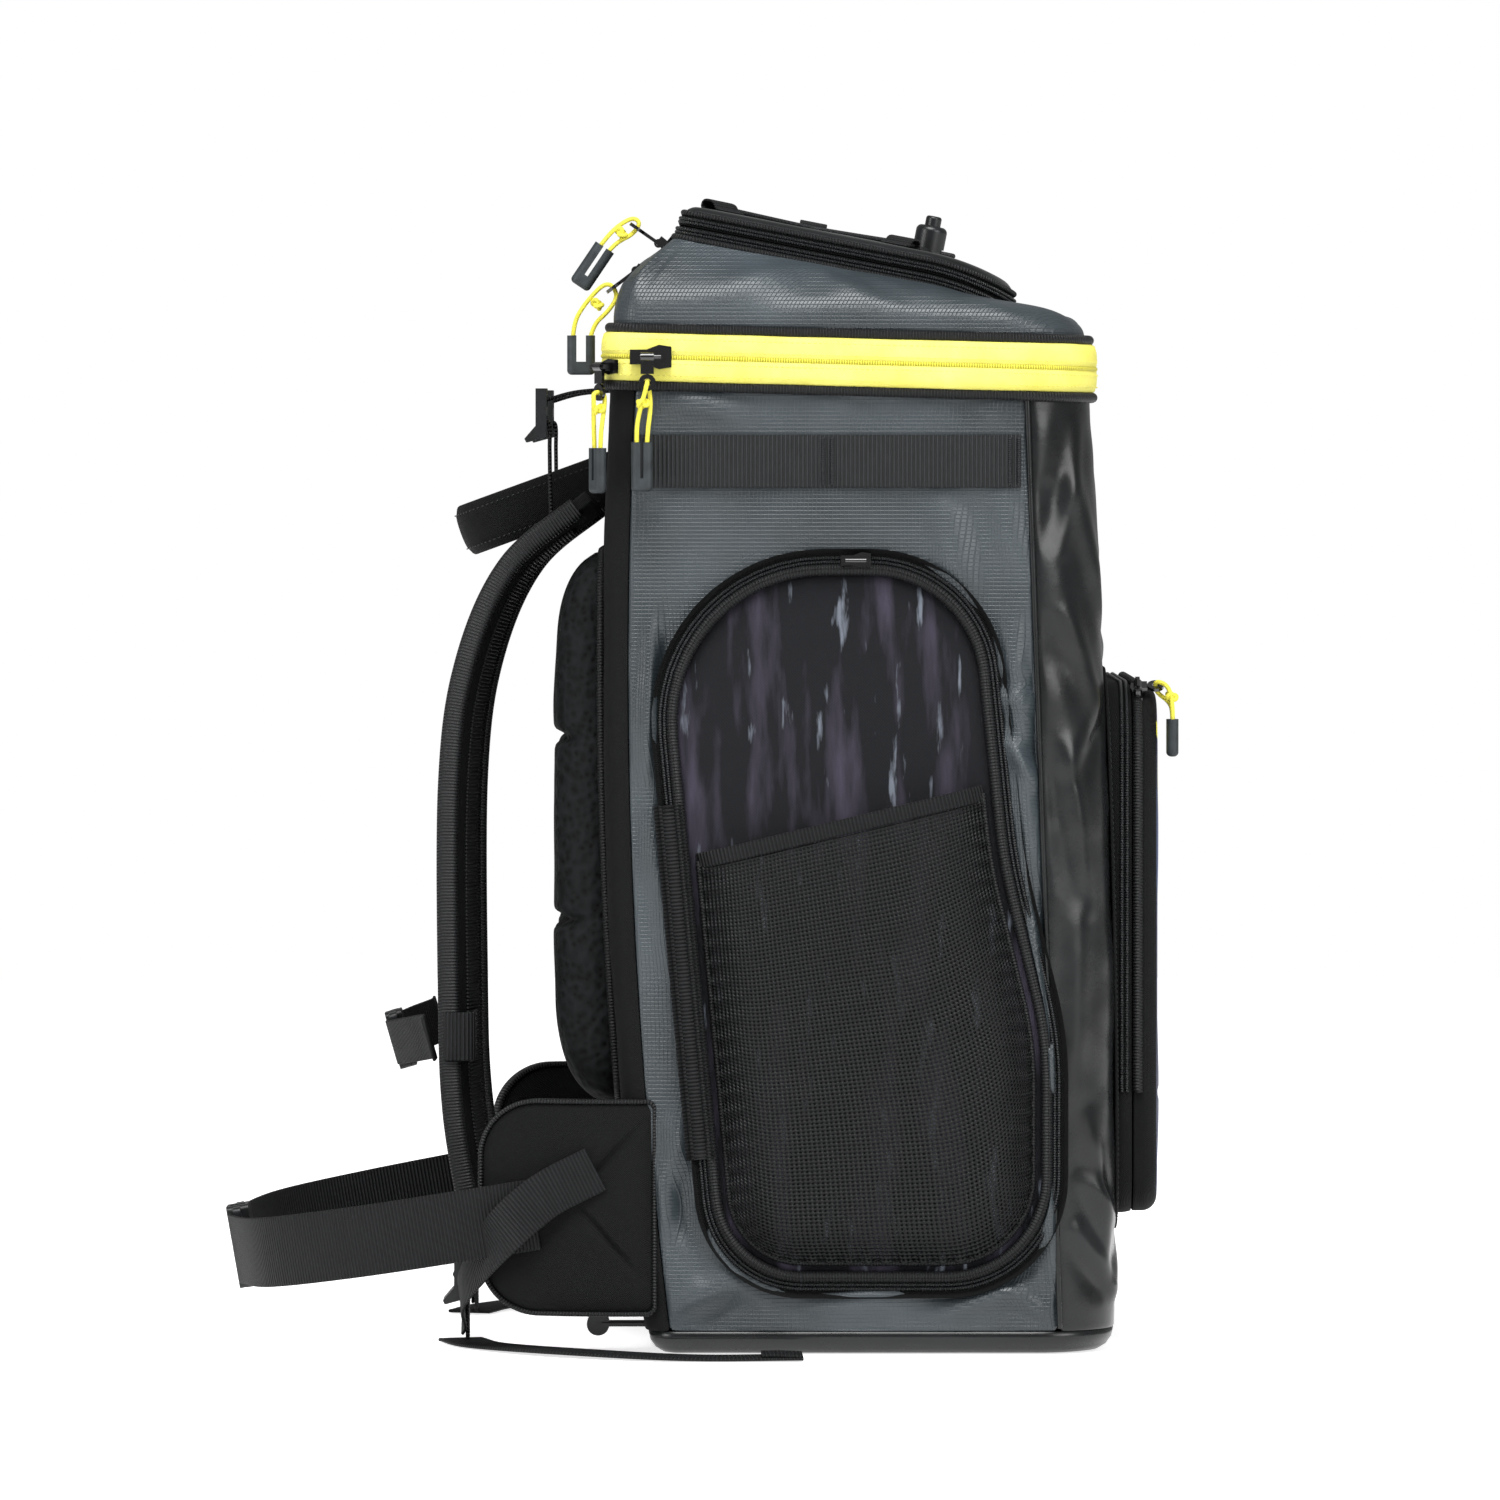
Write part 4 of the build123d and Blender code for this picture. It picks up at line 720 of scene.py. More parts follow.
def plan_point(turn, half_width, front, back, front_radius, back_radius):
    """Point of a rounded rectangle at a share of its way round, the same share of each side for any size."""
    corners = (
        (half_width, back, back_radius, 0),
        (-half_width, back, back_radius, 1),
        (-half_width, front, front_radius, 2),
        (half_width, front, front_radius, 3),
    )
    ring = (turn % 1) * 4
    corner = int(ring) % 4
    share = ring - int(ring)
    x, y, radius, quarter = corners[corner]
    sign_x, sign_y = (1 if x > 0 else -1), (1 if corner < 2 else -1)
    centre = Vector((x - sign_x * radius, y - sign_y * radius))
    if share < 0.3:
        angle = (quarter + share / 0.3) * pi / 2
        return centre + Vector((cos(angle), sin(angle))) * radius
    start = centre + Vector((cos((quarter + 1) * pi / 2), sin((quarter + 1) * pi / 2))) * radius
    x, y, radius, quarter = corners[(corner + 1) % 4]
    sign_x, sign_y = (1 if x > 0 else -1), (1 if (corner + 1) % 4 < 2 else -1)
    centre = Vector((x - sign_x * radius, y - sign_y * radius))
    end = centre + Vector((cos(quarter * pi / 2), sin(quarter * pi / 2))) * radius
    return start.lerp(end, (share - 0.3) / 0.7)


def square_turn(u, v):
    """(share of the way round, share of the way out) of a point of the unit square seen from its middle."""
    a, b = 2 * u - 1, 2 * v - 1
    out = max(abs(a), abs(b))
    if out < 1e-9:
        return 0, 0
    a, b = a / out, b / out
    if a >= 1 - 1e-9 and b >= -1e-9:
        ring = b / 2
    elif b >= 1 - 1e-9:
        ring = 0.5 + (1 - a) / 2
    elif a <= -1 + 1e-9:
        ring = 1.5 + (1 - b) / 2
    elif b <= -1 + 1e-9:
        ring = 2.5 + (1 + a) / 2
    else:
        ring = 3.5 + (1 + b) / 2
    return (ring - 0.35) / 4, out


def base_place(u, v):
    turn, out = square_turn(u, v)
    edge = min(max((out - 0.92) / 0.08, 0), 1) * pi / 2
    inset = base_seam * (1 - sin(edge)) if out >= 0.92 else base_seam
    low = base_seam * (1 - cos(edge))
    front, back = front_y(0) + inset, back_y(0) - inset
    flat = plan_point(turn, half - inset, front, back, front_corner - inset, back_corner - inset)
    spread = 1 if out >= 0.92 else out / 0.92
    middle = Vector((0, -4))
    x, y = middle.lerp(flat, spread)
    return Vector((x, y, low))


made = grid(96, 96, base_place, (370, 250), core=Vector((0, 0, 60)))
base_cloth = finish_piece("base_cloth", made, tarpaulin_black, "pack", "tarpaulin_black", ["base_panel"])
add_modifier(base_cloth, "SOLIDIFY", thickness=2 * mm, offset=-1)

# ---------------------------------------------------------------- side doors
# A boot goes in through a teardrop door in each side: printed cloth on a stay, edged with fat ribbed piping.
# A black coil zip on its own tape goes round it, and a nylon strip covers the straight hinge at its back.


def sweep(path, section, across, closed=False):
    """A closed section carried along a path: its first measure lies along across, its second square to it."""
    made = blank()
    layer = made.loops.layers.uv.verify()
    columns = len(path) if closed else len(path) - 1
    rows = len(section)
    if isinstance(across, Vector):
        across = [across] * len(path)
    reach = [0]
    for here, there in zip(path, [*path[1:], path[0]]):
        reach.append(reach[-1] + (there - here).length)
    girth = [0]
    for here, there in zip(section, [*section[1:], section[0]]):
        girth.append(girth[-1] + hypot(there[0] - here[0], there[1] - here[1]))
    bmesh.ops.create_grid(made, x_segments=columns, y_segments=rows, size=0.5)
    for face in made.faces:
        for loop in face.loops:
            column, row = round((loop.vert.co.x + 0.5) * columns), round((loop.vert.co.y + 0.5) * rows)
            loop[layer].uv = (reach[column], girth[row])
    for vert in made.verts:
        column = round((vert.co.x + 0.5) * columns)
        row = round((vert.co.y + 0.5) * rows) % rows
        at = column % len(path)
        back, on = (at - 1, (at + 1) % len(path)) if closed else (max(at - 1, 0), min(at + 1, len(path) - 1))
        run = (path[on] - path[back]).normalized()
        wide = (across[at] - run * across[at].dot(run)).normalized()
        up = wide.cross(run)
        vert.co = path[at] + wide * section[row][0] + up * section[row][1]
    bmesh.ops.remove_doubles(made, verts=made.verts, dist=0.005)
    if not closed:
        bmesh.ops.holes_fill(made, edges=[edge for edge in made.edges if edge.is_boundary], sides=0)
    bmesh.ops.recalc_face_normals(made, faces=made.faces)
    return made


def swept(name, line, section, across, material, body, slot, replaces=(), closed=False):
    """A section carried along a line and finished as a piece."""
    return finish_piece(name, sweep(line, section, across, closed), material, body, slot, replaces)


def round_section(radius, count=14):
    """Circle as a section."""
    turns = [2 * pi * step / count for step in range(count)]
    return [(radius * cos(turn), radius * sin(turn)) for turn in turns]


def flat_section(wide, thick, edge=None, steps=3):
    """Flat strap as a section, with rounded edges."""
    edge = 0.45 * thick if edge is None else edge
    a, b = wide / 2, thick / 2
    ring = rounded(((-a, -b), (a, -b), (a, b), (-a, b)), (edge,) * 4, steps)
    return [tuple(point) for point in ring]


def for_pair(node, side):
    """The CAD node of a pair, named on its left piece only."""
    return [node] if side < 0 else []


def on_side(side, flat_points, lift):
    """Points of a side of the sack, lifted off it."""
    return [Vector((side * (half + lift), point.x, point.y)) for point in flat_points]


# door print: tight navy cloth printed with long soft mauve and slate strokes that lean with the hinge
door_print, tree, shader = new_material("door_print", "14161f", 0.55, 0.16)
spot = object_mm(tree)
lean = {0: spot, "Rotation": (0.55, 0, 0), "Scale": (1, 1, 0.16)}
stretched = add_node(tree, "ShaderNodeMapping", lean).outputs[0]
strokes = speckle(tree, stretched, 16.0, 6.0)
mauve = shaded(tree, shader, strokes, 0.5, 0.7, "0b0c11", "403b49")
flecks = speckle(tree, stretched, 7.0, 5.0)
slate = add_node(tree, "ShaderNodeMapRange", {"Value": flecks, "From Min": 0.62, "From Max": 0.7})
tree.links.new(tinted(tree, slate.outputs[0], mauve, "6a707a"), shader.inputs["Base Color"])
axis = add_node(tree, "ShaderNodeSeparateXYZ", {0: spot}).outputs
weave = maths(tree, "MULTIPLY", ripple(tree, axis["Y"], 0.8), ripple(tree, axis["Z"], 0.8))
dent(tree, shader, with_speckle(tree, weave, spot, 20.0, 4.0), 0.14)


def ribbed(name, base, dark, light, rough, pitch, deep, gloss=0.3):
    """Finish of gimp, coil or webbing whose ribs cross the piece's length each pitch, with painted highlights
    on the ribs and painted shade between them.
    """
    made, tree, shader = new_material(name, base, rough, gloss)
    axis = add_node(tree, "ShaderNodeSeparateXYZ", {0: cloth_mm(tree)}).outputs
    ribs = ripple(tree, axis["X"], pitch)
    fuzz = speckle(tree, object_mm(tree), 0.8, 4.0)
    dent(tree, shader, maths(tree, "ADD", ribs, fuzz), deep)
    # painted highlight and shade: the colour is lighter on the ribs and darker between them, plus random tone
    tone_and_rib_shade = maths(tree, "ADD", ribs, speckle(tree, object_mm(tree), 9.0))
    shaded(tree, shader, tone_and_rib_shade, -0.6, 1.4, dark, light)
    return made


# piping gimp: hard black cord wound with thread, so close ribs cross it and catch the light one by one,
# helped by painted highlights on the ribs and painted shade between them
piping_black = ribbed("piping_gimp", "0a0a0b", "030303", "17181a", 0.5, 1.7, 0.3, 0.25)
# coil: black nylon spiral teeth in two rows, glossier than the tape that carries them
coil_black = ribbed("zip_coil", "0a0b0b", "050505", "1c1e20", 0.3, 1.35, 0.35)
# black webbing: close picks across its length, dull with a faint sheen
webbing_black = ribbed("black_webbing", "0a0a0b", "030303", "18191b", 0.62, 2.0, 0.4, 0.2)

for side, hand in sides:
    sheet_edge = grown(door_outline, -1.2)
    sheet_middle = Vector((4, 225))

    def door_place(u, v):
        edge = sheet_edge[round(u * door_steps) % door_steps]
        y, z = edge.lerp(sheet_middle, v)
        swell = 1.2 * eased(v / 0.1) + 0.9 * mottle(y, z, 50, 31 + side) * eased(v / 0.15)
        return Vector((side * (half - 0.4 + swell), y, z))

    made = grid(door_steps, 30, door_place, (1100, 190), weld=True)
    door = "door_" + hand
    door_cloth = finish_piece("door_cloth_" + hand, made, door_print, door, "print_dark", [door])
    add_modifier(door_cloth, "SOLIDIFY", thickness=3 * mm, offset=-1)

    outward = Vector((side, 0, 0))
    stands_for = for_pair("panel_zips", side)
    tape = (pack_cloth, "pack", "coil_black", stands_for)
    coil = (coil_black, "pack", "coil_black", ())
    piping = (piping_black, door, "nylon_black", ())
    for name, out, lift, section, finish in (
        ("door_tape_", 6.4, 0.9, flat_section(1.4, 10.6), tape),
        ("door_coil_4_", 4.6, 1.9, round_section(1.1, 8), coil),
        ("door_coil_6_", 6.9, 1.9, round_section(1.1, 8), coil),
        ("door_piping_", 0.6, 1.6, round_section(3.1, 16), piping),
    ):
        line = on_side(side, grown(door_outline, out), lift)
        swept(name + hand, line, section, outward, *finish, closed=True)

    seam_line = [Vector((side * (half + 0.5), front_seam_y(z), z)) for z in range(14, 512, 3)]
    swept(
        "front_seam_" + hand, seam_line, round_section(1.5, 10), outward,
        tarpaulin_black, "pack", "tarpaulin_black"
    )

    strip_points = []
    for step in range(31):
        z = 104 + 188 * step / 30
        strip_points.append(Vector((86 + hinge_slope * (z - 108) + 6.5, z)))
    swept(
        "hinge_strip_" + hand, on_side(side, strip_points, 2.9), flat_section(1.4, 15), outward,
        webbing_black, "pack", "nylon_black"
    )

# ---------------------------------------------------------------- mesh pockets on the doors
# A pocket of black knitted mesh with diamond holes stands off the lower half of each door.
# It is gathered into the door's piping, and a ribbed elastic hem holds its slanting mouth.
hem_back, hem_front = Vector((94, 262)), Vector((-60, 299))

# knitted mesh: matte black threads round open diamond holes, darkened with painted shade where they dip
# towards the holes
pocket_mesh, tree, shader = new_material("pocket_mesh", "08090a", 0.4, 0.16)
cloth = cloth_mm(tree)
axis = add_node(tree, "ShaderNodeSeparateXYZ", {0: cloth}).outputs
rise = ripple(tree, maths(tree, "ADD", axis["X"], axis["Y"]), 4.4)
fall = ripple(tree, maths(tree, "SUBTRACT", axis["X"], axis["Y"]), 4.4)
holes = maths(tree, "MULTIPLY", rise, fall)
dent(tree, shader, holes, -0.4)
# painted shade: the threads darken as they sink towards each hole
shaded(tree, shader, holes, -0.6, 0.5, "121314", "040505")
open_part = maths(tree, "GREATER_THAN", holes, 0.42)
clear = add_node(tree, "ShaderNodeBsdfTransparent")
net = add_node(tree, "ShaderNodeMixShader", {0: open_part, 1: shader.outputs[0], 2: clear.outputs[0]})
surface = next(node for node in tree.nodes if node.type == "OUTPUT_MATERIAL").inputs["Surface"]
tree.links.new(net.outputs[0], surface)


def cut(outline, start, end):
    """Crossing points of an outline with the line through two points, as (place along the outline, point)."""
    run = end - start
    normal = Vector((-run.y, run.x)).normalized()
    found = []
    for at, here in enumerate(outline):
        there = outline[(at + 1) % len(outline)]
        a, b = (here - start).dot(normal), (there - start).dot(normal)
        if a * b < 0:
            found.append((at + a / (a - b), here.lerp(there, a / (a - b))))
    return found


pocket_outline = grown(door_outline, -7)
crossings = cut(pocket_outline, hem_back, hem_front)
crossings.sort(key=lambda crossing: crossing[1].x)
front_at, hem_start = crossings[0]
hem_end = crossings[-1][1]
first = int(front_at)
low_side = [pocket_outline[(first + 1 + at) % door_steps] for at in range(door_steps)]
if low_side[3].y > hem_start.y:
    low_side = [pocket_outline[(first - at) % door_steps] for at in range(door_steps)]
pocket_edge = []
for point in low_side:
    pocket_edge.append(point)
    if len(pocket_edge) > 20 and abs((point - hem_end).length) < 4:
        break
side_cells = 60
pocket_edge = evenly([hem_start, *pocket_edge, hem_end], 3 * side_cells + 1)
pocket_front, pocket_foot = pocket_edge[: side_cells + 1], pocket_edge[side_cells : 2 * side_cells + 1]
pocket_back = pocket_edge[2 * side_cells :][::-1]


def part_way(line, share):
    """Point of one of the pocket's sides at a share of its way."""
    at = min(int(share * side_cells), side_cells - 1)
    return line[at].lerp(line[at + 1], share * side_cells - at)


def patch(u, v):
    """Point of the pocket's flat shape: u from front to back, v from the hem down to the foot."""
    head = hem_start.lerp(hem_end, u)
    level = part_way(pocket_front, v).lerp(part_way(pocket_back, v), u)
    corners = head.lerp(pocket_foot[0].lerp(pocket_foot[-1], u), v)
    return level + head.lerp(part_way(pocket_foot, u), v) - corners


def pocket_lift(flat, u, v):
    """How far the pocket stands off the door."""
    near = min((flat - point).length for point in pocket_edge[::3])
    rise = min(near / 26, 1)
    shape = (1 - (1 - rise) ** 2.4) * 13.5
    return 0.6 + shape * (1 - 0.22 * (1 - eased(v / 0.25)))


for side, hand in sides:

    def pocket_place(u, v):
        flat = patch(u, v)
        lift = pocket_lift(flat, u, v)
        ruffle = 0.8 * mottle(flat.x, flat.y, 16, 41 + side) * min(lift / 8, 1) * eased((1 - v) / 0.1)
        return Vector((side * (half + lift + ruffle), flat.x, flat.y))

    made = grid(80, 110, pocket_place, (165, 235), core=Vector((side * 100, 0, 160)))
    pocket_body = "door_" + hand
    finish_piece("pocket_net_" + hand, made, pocket_mesh, pocket_body, "mesh_black", ["mesh_pocket_" + hand])
    hem_line = []
    for step in range(61):
        flat = patch(step / 60, 0)
        lift = pocket_lift(flat, step / 60, 0)
        hem_line.append(Vector((side * (half + lift + 0.3), flat.x, flat.y)))
    outward = Vector((side, 0, 0))
    swept(
        "pocket_hem_" + hand, evenly(hem_line, 90), flat_section(2.4, 8.5, 1.1), outward,
        webbing_black, pocket_body, "webbing_black"
    )
    edge_line = [Vector((side * (half + 1.4), *point)) for point in pocket_edge]
    swept(
        "pocket_binding_" + hand, edge_line, round_section(1.6, 8), outward,
        piping_black, pocket_body, "nylon_black"
    )

# ---------------------------------------------------------------- yellow zip band
# A lemon band of coated cloth hides the main zip all round the rim; its halves meet over the coil.
# Each half is sewn down by two rows of stitches and edged with ribbed black piping.

# lemon band cloth: fine plain weave under a thin coat, slightly uneven in tone
band_cloth, tree, shader = new_material("lemon_band", "f4ea50", 0.55)
spot = object_mm(tree)
axis = add_node(tree, "ShaderNodeSeparateXYZ", {0: cloth_mm(tree)}).outputs
weave = maths(tree, "MULTIPLY", ripple(tree, axis["X"], 0.9), ripple(tree, axis["Y"], 0.9))
dent(tree, shader, with_speckle(tree, weave, spot, 8.0, 5.0, 4.0), 0.14)
shaded(tree, shader, speckle(tree, spot, 18.0, 5.0), 0.25, 0.75, "e6de5c", "f4ee7c")
coil_yellow = ribbed("lemon_coil", "d9cf3e", "a69d22", "ece357", 0.42, 1.35, 0.3)
# sewing thread: slightly shiny twisted polyester
thread_yellow = ribbed("lemon_thread", "cfc540", "c2b838", "f2eb80", 0.4, 0.4, 0.05)
thread_black = ribbed("black_thread", "121314", "0e0f10", "232527", 0.4, 0.4, 0.05)


def ring_of(count, out, size, place):
    """Closed line of count points round a rounded rectangle that is out from its size."""
    half_width, front, back, front_radius, back_radius = size
    ring = []
    for step in range(2 * count):
        turn = step / count / 2
        grown_size = (half_width + out, front - out, back + out, front_radius + out, back_radius + out)
        ring.append(place(plan_point(turn, *grown_size)))
    return evenly(ring, count, closed=True)


def rim_ring(out, lift):
    """Closed line round the rim, out from the sack's wall and lift above the main zip."""
    size = (half, front_y(rim_height + lift), back_y(rim_height + lift), front_corner, back_corner)
    return ring_of(420, out, size, lambda flat: Vector((flat.x, flat.y, rim_z(flat.y) + lift)))


def outwards(ring, upright=False):
    """Directions out of a closed line: level, or for an upright line in its plane across the front."""
    found = []
    for at in range(len(ring)):
        run = ring[(at + 1) % len(ring)] - ring[at - 1]
        found.append((Vector((run.z, 0, -run.x)) if upright else Vector((run.y, -run.x, 0))).normalized())
    return found


def stitches(name, line, out, material, body, slot, pitch=3.0, long=2.1, wide=0.7, closed=False):
    """Row of stitches along a line; out gives each point's direction out of the cloth."""
    ring = [*line, line[0]] if closed else line
    total = sum((there - here).length for here, there in zip(ring, ring[1:]))
    count = max(int(total / pitch), 2)
    points = evenly(line, count, closed)
    made = blank()
    for at, here in enumerate(points):
        on = points[(at + 1) % count] if at + 1 < count or closed else here * 2 - points[at - 1]
        run = (on - here).normalized()
        up = out[round(at * (len(out) - 1) / count)] if isinstance(out, list) else out
        across = up.cross(run).normalized()
        basis = Matrix((run * long / 2, across * wide / 2, run.cross(across) * wide / 3)).transposed()
        lie = Matrix.Translation(here) @ basis.to_4x4()
        bmesh.ops.create_icosphere(made, subdivisions=1, radius=1, matrix=lie)
    bmesh.ops.recalc_face_normals(made, faces=made.faces)
    return finish_piece(name, made, material, body, slot)


def wavy(ring, amount, seed):
    """A line with its points pushed softly in and out."""
    moved = []
    for here, out in zip(ring, outwards(ring)):
        moved.append(here + out * amount * mottle(here.x + here.z, here.y, 22, seed))
    return moved


band_sections = {
    "upper": [(-4, 0.5), (4, 0.5), (5.3, 1.2), (5.7, 4), (5.4, 8.5), (4.4, 12), (2.6, 13.2), (-4, 13.2)],
}
band_sections["lower"] = [(out, -up) for out, up in reversed(band_sections["upper"])]
for part, body in (("lower", "pack"), ("upper", "lid")):
    ring = wavy(rim_ring(0, 0), 0.5, 51)
    swept(
        "band_" + part, ring, band_sections[part], outwards(ring),
        band_cloth, body, "zip_band_yellow", ["zip_band_" + part], closed=True
    )
    sign = -1 if part == "lower" else 1
    for row in (3.4, 9.6):
        line = wavy(rim_ring(5.75 if row < 5 else 5.2, sign * row), 0.5, 51)
        name = f"band_stitches_{part}_{round(row)}"
        stitches(name, line, outwards(line), thread_yellow, body, "zip_band_yellow", closed=True)
    line = wavy(rim_ring(2.2, sign * 15.2), 0.5, 51)
    swept(
        "band_piping_" + part, line, round_section(2.7, 14), outwards(line),
        piping_black, body, "nylon_black", closed=True
    )
line = wavy(rim_ring(4.6, 0), 0.5, 51)
swept(
    "band_coil", line, round_section(1.3, 8), outwards(line),
    coil_yellow, "pack", "zip_band_yellow", closed=True
)

# ---------------------------------------------------------------- lid
# The lid is the same slate tarpaulin, pulled over a foam ring so that it rises in a soft dome to the flap.
# It is sewn into the band's piping below and into the flap zip's tape above, with shallow folds between.
crown_y, crown_z, crown_turn = 14, 577, radians(11)
flap_size = (150, -91, 92, 40, 10)


def on_crown(x, v, w):
    """Point over the flap's plane: across, towards the back and up."""
    w -= 9 * (max(-v - 38, 0) / 53) ** 2
    y = crown_y + v * cos(crown_turn) - w * sin(crown_turn)
    return Vector((x, y, crown_z + v * sin(crown_turn) + w * cos(crown_turn)))


crown_up = Vector((0, -sin(crown_turn), cos(crown_turn)))
crown_on = Vector((0, cos(crown_turn), sin(crown_turn)))


def crown_ring(out, w):
    """Closed line round the flap, out from its edge and w above the crown plane."""
    return ring_of(360, out, flap_size, lambda flat: on_crown(flat.x, flat.y, w))


lid_creases = (
    (0.06, 0.1, 0.1, 0.95, 0.012, 2.2), (0.15, 0.05, 0.19, 0.9, 0.014, 2.4),
    (0.30, 0.1, 0.28, 0.95, 0.012, 2.0), (0.36, 0.1, 0.40, 0.9, 0.016, 2.2),
    (0.44, 0.2, 0.41, 0.95, 0.012, 1.8), (0.55, 0.1, 0.52, 0.95, 0.016, 2.6),
    (0.62, 0.1, 0.64, 0.9, 0.014, 2.2), (0.72, 0.1, 0.70, 0.9, 0.016, 2.2),
    (0.82, 0.15, 0.86, 0.9, 0.014, 2.0), (0.93, 0.1, 0.90, 0.9, 0.016, 2.4),
)


def lid_place(u, v):
    low = plan_point(u, half, -112, 138, front_corner, back_corner)
    high = plan_point(u, *flap_size)
    foot = Vector((low.x, low.y, rim_z(low.y) + 14))
    head = on_crown(high.x, high.y, 0.5)
    out = Vector((low.x * 0.9, low.y, 0)).normalized()
    swell = 11 * sin(pi * v**0.72) * (1.15 - 0.45 * v)
    fold = creased(u, v, lid_creases) + 1.3 * mottle(low.x + 300, low.y + 60 * v, 34, 61)
    held = sin(pi * min(max(v, 0), 1))
    return foot.lerp(head, v) + (out * 0.75 + Vector((0, 0, 0.75))) * (swell + fold * held)


made = grid(360, 24, lid_place, (1050, 60), core=Vector((0, 14, 480)), weld=True)
lid_cloth = finish_piece("lid_cloth", made, tarpaulin_slate, "lid", "tarpaulin_grey", ["lid_shell"])
thicken(lid_cloth, 2.0)


def lining_place(u, v):
    turn, out = square_turn(u, v)
    flat = plan_point(turn, half - 3.6, -102, 134.4, 39, 13)
    x, y = Vector((0, 16)).lerp(flat, out)
    return Vector((x, y, rim_z(y) + 13.5))


made = grid(60, 60, lining_place, (360, 240), core=Vector((0, 14, 900)))
lid_lining = finish_piece("lid_lining_cloth", made, pack_cloth, "lid", "nylon_black", ["lid_lining"])
add_modifier(lid_lining, "SOLIDIFY", thickness=1.5 * mm, offset=-1)

# ---------------------------------------------------------------- flap on the lid
# The lid's own pocket opens under a stiffened flap of black tarpaulin, closed by a coil zip on three sides.
# The flap is domed over foam, and its rolled edge is bound in gloss piping.
swept(
    "flap_tape", crown_ring(-1.3, 2.6), flat_section(4.4, 5.0, 1.2), outwards(crown_ring(-1.3, 2.6)),
    pack_cloth, "lid", "coil_black", ["flap_zip"], closed=True
)
for row in (1.6, 3.6):
    ring = crown_ring(1.2, row)
    swept(
        f"flap_coil_{round(row)}", ring, round_section(1.05, 8), outwards(ring),
        coil_black, "lid", "coil_black", closed=True
    )
ring = crown_ring(1.6, -1.2)
swept(
    "flap_piping_low", ring, round_section(2.0, 12), outwards(ring),
    piping_black, "lid", "nylon_black", closed=True
)


def rim_of(made, span, start):
    """Faces of a sheet filled from its middle that lie beyond a share of the way out."""
    layer = made.loops.layers.uv.verify()
    found = []
    for face in made.faces:
        middle = sum((loop[layer].uv for loop in face.loops), Vector((0, 0))) / 4
        if square_turn(middle.x / span[0], middle.y / span[1])[1] > start:
            found.append(face.index)
    return found


def second_finish(piece, material, faces):
    """Gives some faces of a piece a second material."""
    piece.data.materials.append(material)
    for index in faces:
        piece.data.polygons[index].material_index = 1


def flap_place(u, v):
    turn, out = square_turn(u, v)
    if out > 0.93:
        inset, w = 0, 5.6 + 3.0 * (1 - out) / 0.07
    elif out > 0.8:
        bend = (0.93 - out) / 0.13 * pi / 2
        inset, w = 8 * (1 - cos(bend)), 8.6 + 8 * sin(bend)
    else:
        inset, w = 8, 16.6
    flat = plan_point(turn, 150 - inset, -91 + inset, 92 - inset, 40 - inset, max(10 - inset, 2))
    spread = out / 0.8 if out < 0.8 else 1
    x, y = Vector((0, 4)).lerp(flat, spread)
    dome = 1.2 * (1 - spread**4) + 0.7 * mottle(x, y, 55, 71) * (1 - spread**6)
    return on_crown(x, y, w + dome)


made = grid(110, 110, flap_place, (320, 210), core=Vector((0, 14, 560)))
rim_faces = rim_of(made, (320, 210), 0.88)
flap_cloth = finish_piece("flap_cloth", made, tarpaulin_black, "flap", "tarpaulin_black", ["lid_flap"])
second_finish(flap_cloth, pack_cloth, rim_faces)
thicken(flap_cloth, 2.0, 0)
for row in (7.4, 9.2):
    ring = crown_ring(0.5, row)
    swept(
        f"flap_edge_coil_{round(row)}", ring, round_section(1.0, 8), outwards(ring),
        coil_black, "flap", "coil_black", closed=True
    )
ring = crown_ring(-0.6, 12.4)
swept(
    "flap_piping_high", ring, round_section(1.6, 12), outwards(ring),
    piping_black, "flap", "nylon_black", closed=True
)

# ---------------------------------------------------------------- bungee, its tabs and its cord lock
# A black shock cord laces through six webbing tabs sewn on the flap and draws up through a sprung cord lock.

# shock cord: black braid over rubber, with a painted highlight as a tiny light fleck on each raised crossing
shock_cord, tree, shader = new_material("shock_cord", "0d0e0f", 0.5, 0.35)
spot = object_mm(tree)
axis = add_node(tree, "ShaderNodeSeparateXYZ", {0: spot}).outputs
slant = ripple(tree, maths(tree, "ADD", axis["X"], axis["Y"]), 1.2)
counter = ripple(tree, maths(tree, "SUBTRACT", axis["X"], axis["Y"]), 1.2)
crossing = maths(tree, "MULTIPLY", slant, counter)
dent(tree, shader, crossing, 0.1)
# painted highlight: the colour lightens only on the tops of the braid's crossings
shaded(tree, shader, crossing, 0.5, 0.95, "0a0b0c", "3c3f43")

bungee_lift = 19.7
bungee_half = (
    (-76, 72), (-45, 50), (-12, 24), (-14, 16), (-48, -8),
    (-78, -24), (-74, -34), (-42, -36), (-2.2, -40), (-3.4, -56),
)
bungee_route = [Vector((x, crown_y, crown_z)) + crown_on * v + crown_up * bungee_lift for x, v in bungee_half]
bungee_route += [Vector((-point.x, point.y, point.z)) for point in reversed(bungee_route)]
bungee_cord = cord_line("bungee_cord", bungee_route, 3.0, shock_cord)
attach(bungee_cord, "flap")
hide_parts("bungee")
[part / 1000 for part in bungee_route[0]]
tab_foot = ((-11, 0.7), (-5, 0.7), (3, 0.7), (8.5, 1.2), (10.4, 3.4))
tab_loop = (*tab_foot, (8.6, 5.8), (3, 6.2), (-2, 5.2), (-6, 2.4), (-11, 2.0))
